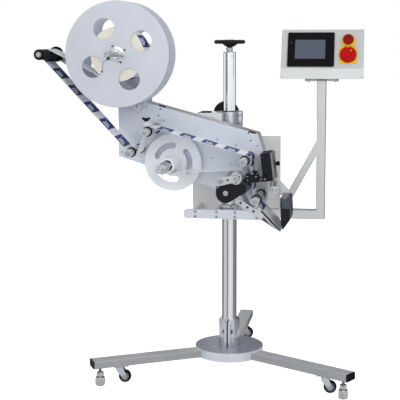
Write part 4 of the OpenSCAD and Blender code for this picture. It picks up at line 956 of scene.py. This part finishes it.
def rewinder():
    x, z = REWIND
    front, back = (corner.y for corner in box_of("rewind_shaft"))
    jaw_front = front + 26
    length = WEB_BACK - jaw_front
    profile = ended([(0, 0), (9.2, 0), (10, 0.8)], [(10, 1), (9, 0), (4, 0), (4, 5), (0, 6)], back - front)
    shape = Shape().turned(front_at(x, back, z), profile, "alloy")
    for angle in (110, 200, 290, 380):
        place = up_at(x, jaw_front, z) @ spun("Y", -angle)
        shape.block(place @ up_at(0, length / 2, 15.6), (10, length, 10.6), "alloy", 1)
        for share in (0.08, 0.2):
            shape.turned(place @ up_at(0, share * length, 20.9), [
                (0, -1), (2.4, -1), (2.4, 0.2), (1.3, 0.2, 6), (1.3, -0.6, 6), (0, -0.6)], "dark_steel", 24)
    shape.ring(front_at(x, WEB_BACK, z), 17.4, 10.1, length - 12, "steel", 1)
    shape.turned(front_at(x, jaw_front + 8, z), [
        (10.1, 0), (17, 0), (18.4, 1.4), (18.4, 6), (17, 7), (10.1, 7)], "chrome")
    shape.done("rewind_chuck", "rewinder", "light_alloy", "rewind_shaft")
    disc = Shape()
    holes = [circle(10.1)]
    for middle in (124, 244, 364):
        low, high = middle - 35, middle + 35
        ends = [66 * polar((0, 0), 1, angle) for angle in (low, high)]
        holes.append(arc((0, 0), 77, low, high, 16)[1:-1] + arc(ends[1], 11, high, high + 180, 10)
                     + arc((0, 0), 55, high, low, 14)[1:-1] + arc(ends[0], 11, low + 180, low + 360, 10))
    disc.plate(front_at(x, WEB_BACK + 6, z), circle(112, 120), 4, "pale_disc", holes, 0.7)
    washer = [(10.1, 0), (28, 0), (28, 1), (27, 1.6), (10.1, 1.6)]
    disc.turned(front_at(x, WEB_BACK + 2, z), washer, "pale_disc", 64)
    disc.turned(front_at(x, WEB_BACK, z), wound((21.8, 0.3), 22, LINER_R, 7, 0.5, 2), "label", 72)
    disc.done("rewind_disc_and_liner", "rewinder", "pale_plate", "rewind_reel")


# Peel edge, sensor, control box and pressing block

PEEL_BAR = (Vector((84, 770)), Vector((172, 717)))
SENSOR_KNOB = (148, -378, 872)
BOX_CORNER = (174, 0, 838)
BOX_LEAN = 7
SLIDE = (212, 800)


def peel_edge():
    beam = Shape().solid("peel_beam", "alloy", 0.6)
    for share in (0.12, 0.42, 0.68):
        point = PEEL_BAR[0].lerp(PEEL_BAR[1], share)
        beam.screw(back_at(point.x, -376.5, point.y), 4.4, 3, "dark_steel")
    # A thin black wedge on the beam's front, along its lower edge, is a painted shadow under the beam.
    run = LINER.points[1] - LINER.points[0]
    down = Vector((run.y, -run.x)).normalized()
    shadow_wedge = [LINER.points[0] + share * run + drop * down for share, drop in
             ((0.3, 1.6), (0.3, 6.4), (0.69, 6.6), (0.98, 3.6), (0.985, 0.6), (0.69, 0.9))]
    beam.plate(front_at(0, WEB_FRONT - 8.2, 0), shadow_wedge, 1.4, "rubber", chamfer=0.2)
    beam.done("peel_edge", "head", "light_alloy", "peel_beam")


def gap_sensor():
    sensor = Shape().solid("label_sensor", "black", 1.0)
    knob = [(0, 0), (3.4, 0), (3.4, 5), (9, 6), (10, 8), (10, 13), (8.6, 15), (0, 15.6)]
    sensor.turned(up_at(*SENSOR_KNOB), knob, "black", lobes=(10, 0.5))
    for x, z in ((121, 850), (121, 864), (153, 864)):
        sensor.screw(front_at(x, WEB_FRONT - 20, z), 2.6, 2)
    for x in (168, 182):
        sensor.screw(front_at(x, -350, 851), 3.2, 2.6)
    sensor.block(up_at(117, WEB_FRONT - 14, 872.6), (6, 8, 3), "navy", 0.6)
    sensor.done("gap_sensor", "head", "black_plastic", "label_sensor")


def control_box():
    box = Shape()
    lean = up_at(*BOX_CORNER) @ spun("Y", -BOX_LEAN)
    front, back = WEB_FRONT + 34, TRAY_FRONT - 5
    depth = back - front
    middle = front + depth / 2
    box.block(lean @ up_at(19, middle, 53), (38, depth, 106), "black", 2.2, 3)
    box.block(lean @ up_at(40, middle, 53), (4.4, depth - 4, 103), "fin")
    for k in range(13):
        box.block(lean @ up_at(43.6, middle, 5 + k * 8), (4.6, depth - 6, 3.4), "fin", 0.6)
    box.block(lean @ up_at(45, middle, 58), (3, 34, 30), "black")
    box.turned(lean @ right_at(46, middle, 58), [
        (0, 0), (4, 0), (4, 5), (7.4, 6), (8, 7), (8, 17), (7, 18), (0, 18.2)], "rubber", lobes=(16, 0.25))
    for z in (6, 100):
        for y in (front + 9, back - 9):
            box.screw(lean @ right_at(45.4, y, z), 2.4, 1.6)
    for z in (12, 94):
        box.screw(lean @ front_at(8, front, z), 2.6, 1.2, "dark_steel")
    box.block(up_at(168.5, TRAY_FRONT - 2.5, 890), (57, 5, 76), "alloy", 0.6)
    box.done("sensor_box", "head", "black_plastic", "control_box")


def pressing_block():
    front, back = WEB_FRONT - 20, WEB_BACK + 12
    pad = Shape()
    upper = ((242, 784), (276, 784), (278.5, 746), (245.4, 746))
    lower = ((245.4, 745.6), (278.5, 745.6), (279.4, 716), (279, 704), (254, 667), (248, 680), (247, 716))
    lip = ((243, 772), (247, 683), (253.4, 667.8), (258, 674), (252.4, 686), (249, 772))
    # The upper part takes the bluish painted highlight; the lower part is the plain black moulding.
    pad.plate(front_at(0, back, 0), upper, back - front, "sheen_black", chamfer=1.2)
    pad.plate(front_at(0, back, 0), lower, back - front, "black", chamfer=1.2)
    for y in (front + 0.4, back + 1.8):
        pad.plate(front_at(0, y, 0), lip, 1.2, "black", chamfer=0.2)
    for y in (front + 14, front + 60, back - 14):
        pad.screw(up_at(259, y, 784), 5, 3.4, "foot")
    edge = Matrix.Rotation(radians(BOX_LEAN), 2) @ Vector((46, 0))
    corners = [Vector((BOX_CORNER[0], BOX_CORNER[2])) + share * edge for share in (0.2, 0.95)]
    bracket = corners + [(262, 798), (262, 770), (190, 784)]
    pad.plate(front_at(0, back + 10, 0), bracket, 10, "warm", chamfer=0.8)
    for x, z in ((198, 795), (206, 826), (246, 782)):
        pad.screw(front_at(x, back, z), 4, 3, "foot")
    x, z = SLIDE
    y = back - 22
    pad.block(up_at(x, y, z), (34, 36, 30), "alloy", 1.6)
    for dx in (-9, 9):
        pad.bar(up_at(x + dx, y - 8, z - 14), 3, 48, "chrome")
        pad.screw(front_at(x + dx, y - 18, z), 3.4, 2.6, "foot")
    pad.turned(up_at(x, y + 4, z + 15), [
        (0, 0), (3, 0), (3, 6), (7, 7), (7.6, 8), (7.6, 14), (6.8, 15), (0, 15)], "foot", lobes=(20, 0.25))
    pad.done("pressing_block", "head", "black_plastic", "brush_block")


# Small parts round the web

TIE_ROD = (-234, 1060)
HOOK_R = 41


def guide_parts():
    """Tie rod with its wing knob over the upper left roller."""
    x, z = TIE_ROD
    head = TRAY_FRONT - 224
    rod = Shape().bar(front_at(x, TRAY_FRONT, z), 4, 232, "chrome", 0.8)
    rod.ring(front_at(x, TRAY_FRONT, z), 8, 4.05, 4, "alloy")
    rod.block(up_at(x - 8, head, z - 2), (32, 12, 14), "alloy", 1.4)
    rod.turned(up_at(x - 16, head, z + 5), [(0, 0), (3, 0), (3, 5), (0, 5)], "steel", 24)
    rod.done("guide_rod", "head", "chrome_tube")
    knob = Shape()
    wing = ((-5, 0), (5, 0), (15, 9), (14, 16), (6, 13), (-6, 13), (-14, 16), (-15, 9))
    knob.plate(front_at(x - 16, head + 5, z + 9), wing, 10, "rubber", chamfer=1.8)
    knob.bar(up_at(x - 16, head, z + 9), 5.4, 8, "black", 1)
    knob.done("guide_wing_knob", "head", "black_plastic")


def pinch_lever():
    """The lever and rod that carry the pinch roller, with the spring housing on the rod's end."""
    x, z = PINCH + Vector((-54, -10))
    front = WEB_FRONT - 82
    link = capsule((-54, -10), (0, 0), 16, 12)
    shape = Shape().plate(front_at(PINCH.x, front + 6, PINCH.y), link, 6, "tube_alloy", chamfer=1)
    shape.bar(front_at(x, TRAY_FRONT, z), 7, TRAY_FRONT - front - 5, "chrome")
    shape.block(up_at(x + 3, front + 22, z + 2), (30, 26, 24), "tube_alloy", 1.4)
    shape.turned(front_at(x, front, z), [
        (0, 0), (9, 0), (9, 8), (8, 9), (4.6, 9, 6), (4.6, 4, 6), (0, 4)], "steel")
    shape.turned(front_at(PINCH.x, front, PINCH.y), [
        (0, 0), (8, 0), (8, 3), (7, 4), (3, 4, 6), (3, 2, 6), (0, 2)], "steel")
    shape.screw(front_at(x + 26, front, z + 5), 4, 3, "dark_steel")
    shape.done("pinch_carrier", "head", "light_alloy")


def belt_hook():
    y = WEB_FRONT - 28
    bends = [polar(MOTOR, HOOK_R, angle) for angle in (146, 154, 162, 170, 178, 188)]
    path = bends[:3] + [bend + Vector((2, 0)) for bend in bends[3:]] + [MOTOR + Vector((-33, -8))]
    hook = Shape().sweep([(point.x, y, point.y) for point in path], 1.8, "rubber")
    hook.done("belt_hook", "head", "black_plastic")


# Control panel

LEAN = 22
PANEL_FOOT = (-80, 1216)
POST_X = (318, 429)
SCREEN = (329, 122)
STOP = (475, 157)
DIAL = (475, 98)


def on_face(x, up, out=0.0):
    """A place on the panel's face: local x across, y up the face, z out of it."""
    y, z = PANEL_FOOT
    return (up_at(x, y + up * sin(radians(LEAN)), z + up * cos(radians(LEAN))) @ spun("X", 90 - LEAN)
            @ up_at(0, 0, out))


def panel():
    post = Shape().solid("panel_frame", "post", 2.2, 3)
    post.screw(left_at(POST_X[0] - 6.6, -38, 1210), 6, 4, "foot")
    post.screw(right_at(POST_X[1] + 6.6, -38, 1210), 6, 4, "foot")
    post.done("panel_post", "head", "brushed_tube", "panel_frame")
    shell = Shape().solid("panel_shell", "paint", 1.6, 3)
    rivet = [(0, 0), (3.6, 0), (3.4, 0.8), (2.4, 1.3), (1.0, 1.4), (0, 1.4)]
    for x in (219, 528):
        for up in (8, 201):
            shell.turned(on_face(x, up), rivet, "paint", 24)
    opening = rounded(319, 160, 1, (0, 20))
    shell.plate(on_face(373.5, 104.5), rounded(322, 208, 1.5), 0.6, "lip", [opening], 0.2)
    shell.done("panel_case", "control_panel", "panel_paint", "panel_shell")
    parts = Shape()
    glass = (-3, 1)
    parts.plate(on_face(*SCREEN), rounded(184, 144, 5), 6, "bezel", [rounded(119, 81, 1.5, glass)], 1.2)
    parts.plate(on_face(*SCREEN), rounded(124, 86, 1.5, glass), 3.6, "screen", chamfer=0.4)
    parts.bar(on_face(SCREEN[0] - 78, SCREEN[1] + 28, 5.8), 1.6, 0.6, "fin", 0.2, 16)
    parts.turned(on_face(*STOP), [
        (11.1, 0), (28, 0), (28, 2), (26.6, 3.4), (22, 5), (18, 11), (16.6, 12), (11.1, 12)], "yellow", 64)
    parts.plate(on_face(*DIAL), rounded(68, 67, 3), 5, "yellow", [circle(5.1)], 0.8)
    parts.done("panel_controls", "control_panel", "yellow_plastic", "panel_fittings")
    stop = Shape().bar(on_face(*STOP, 6.3), 10.9, 11, "green", 0.4)
    stop.ring(on_face(*STOP, 16.2), 17.4, 10.5, 4, "green")
    head = [(0, 3), (17, 3), (20.8, 3.4), (21.5, 5), (21.5, 8), (20, 11.4), (16.6, 14), (10, 15.6), (0, 16)]
    stop.turned(on_face(*STOP, 16.6), head, "red", 64)
    stop.done("stop_mushroom", "stop_button", "red_plastic", "estop_button")
    dial = Shape()
    face = on_face(*DIAL, 5.3)
    grip = face @ spun("Z", -38)
    disc = [(0, 0), (32, 0), (33, 1), (33, 7), (31.6, 9), (28, 9.6), (26, 8), (0, 8)]
    dial.turned(face, disc, "bright_red", 72)
    dial.plate(grip @ up_at(0, 0, 6), rounded(15, 46, 6), 6, "bright_red", chamfer=1.6)
    dial.block(grip @ up_at(0, 18, 12), (3, 8, 0.8), "yellow", 0.2)
    dial.plate(face @ up_at(0, 29.6, 8.8), rounded(6, 3, 1), 1.0, "yellow", chamfer=0.2)
    dial.bar(on_face(*DIAL, 2.4), 4.9, 4, "black")
    dial.done("main_switch_dial", "main_switch", "red_plastic", "switch_dial")


# Studio

# Cards that only the polished tubes reflect: first and last angle from the camera's direction, low and high
# edge in metres, and shade.
CARDS = (("card_rim_right", 118, 178, 0.012, 2.2, "dark"), ("card_rim_left", -128, -178, 0.012, 2.2, "dark"),
         ("card_right", 58, 118, 0.012, 0.65, "grey"), ("card_front", -14, 36, 0.012, 0.65, "light"),
         ("card_left_band", -14, -40, 0.012, 0.65, "mid"), ("card_left", -40, -92, 0.012, 0.65, "pale"),
         ("card_left_edge", -92, -128, 0.012, 0.65, "mid"), ("card_upper", -30, -50, 0.75, 2.2, "pale"))
CARD_SHADES = {"dark": 0.05, "grey": 0.24, "mid": 0.28, "pale": 0.64, "light": 0.8}
CARD_NEAR, CARD_FAR = 0.7, 1.5
TO_CAMERA = -82
FLOOR = 14


def shown(name, data):
    made = bpy.data.objects.new(name, data)
    bpy.context.scene.collection.objects.link(made)
    return made


def camera():
    lens = bpy.data.cameras.new("camera")
    lens.sensor_width = 36
    lens.lens = 93.24
    lens.shift_y = -0.1
    lens.clip_end = 60
    view = shown("camera", lens)
    view.location = row(587, -4167, 1352)
    view.rotation_euler = (radians(90 - 6.38), radians(0.1), radians(9.65))
    bpy.context.scene.camera = view


def lamp(name, place, target, power):
    light = bpy.data.lights.new(name, "AREA")
    light.shape = "DISK"
    light.size = 2.4
    light.energy = power
    made = shown(name, light)
    made.location = place
    made.rotation_euler = (Vector(target) - Vector(place)).to_track_quat("-Z", "Y").to_euler()


def sheet(name, corners, faces, inputs):
    """A card or the floor, with a dull material, kept out of the part."""
    material = bpy.data.materials.new("dull_" + name)
    material.use_nodes = True
    shader = material.node_tree.nodes["Principled BSDF"]
    fill(shader, {"Roughness": 1.0, "Specular IOR Level": 0.0, **inputs})
    mesh = bpy.data.meshes.new(name)
    mesh.from_pydata(corners, [], faces)
    mesh.materials.append(material)
    made = shown(name, mesh)
    return made


def studio():
    scene = bpy.context.scene
    scene.view_settings.view_transform = "Standard"
    world = bpy.data.worlds.new("studio")
    world.use_nodes = True
    scene.world = world
    tree = world.node_tree
    rays = add(tree, "ShaderNodeLightPath").outputs
    seen = rays["Is Camera Ray"]
    for ray in ("Is Glossy Ray", "Is Transmission Ray"):
        seen = add(tree, "ShaderNodeMath", {0: seen, 1: rays[ray]}, operation="MAXIMUM").outputs[0]
    cool = fill(tree.nodes["Background"], {"Color": (0.97, 0.985, 1.0, 1.0), "Strength": 0.68})
    white = add(tree, "ShaderNodeBackground", {"Color": (1, 1, 1, 1), "Strength": 1.0})
    choose = add(tree, "ShaderNodeMixShader", {0: seen, 1: cool.outputs[0], 2: white.outputs[0]})
    fill(tree.nodes["World Output"], {"Surface": choose.outputs[0]})

    lamp("key", (-1.5, -4.0, 2.3), (0, 0, 0.9), 20)
    lamp("fill", (1.9, -3.4, 2.5), (-0.2, -0.2, 1.0), 27)

    corners = [(-FLOOR, -FLOOR, 0), (FLOOR, -FLOOR, 0), (FLOOR, FLOOR, 0), (-FLOOR, FLOOR, 0)]
    ground = sheet("floor", corners, [(0, 1, 2, 3)], {"Base Color": (0.9, 0.9, 0.9, 1)})
    tree = ground.data.materials[0].node_tree
    rays = add(tree, "ShaderNodeLightPath").outputs
    glow = add(tree, "ShaderNodeEmission", {"Color": (0.7, 0.7, 0.7, 1), "Strength": rays["Is Camera Ray"]})
    both = {0: tree.nodes["Principled BSDF"].outputs[0], 1: glow.outputs[0]}
    fill(tree.nodes["Material Output"], {"Surface": add(tree, "ShaderNodeAddShader", both).outputs[0]})

    for name, first, last, low, high, look in CARDS:
        far, near = [[polar((0, 0), reach, TO_CAMERA + angle) for angle in (first, last)]
                     for reach in (CARD_FAR, CARD_NEAR)]
        corners = [(*point, rise) for rise in (low, high) for point in far]
        faces = [(0, 1, 3, 2)]
        if low < 0.1:
            corners += [(*point, low) for point in near]
            faces.append((4, 5, 1, 0))
        shade = CARD_SHADES[look]
        glow = {"Emission Color": (shade, shade, shade * 1.02, 1), "Emission Strength": 1.0}
        board = sheet(name, corners, faces, {"Base Color": (0, 0, 0, 1), **glow})
        for ray in ("camera", "diffuse", "shadow", "transmission"):
            setattr(board, "visible_" + ray, False)


camera()
studio()
base()
for side, angle in LEG_ANGLES.items():
    foot(side, angle)
    caster(side, angle)
column()
head_frame()
supply()
dancer()
for side, centre in GUIDES.items():
    guide_roller(side, centre)
plain("roller_spindles", "steel", 0.5, "guide_spindles", "head", "screw_steel")
drive()
rewinder()
webs()
peel_edge()
gap_sensor()
control_box()
pressing_block()
guide_parts()
pinch_lever()
belt_hook()
panel()
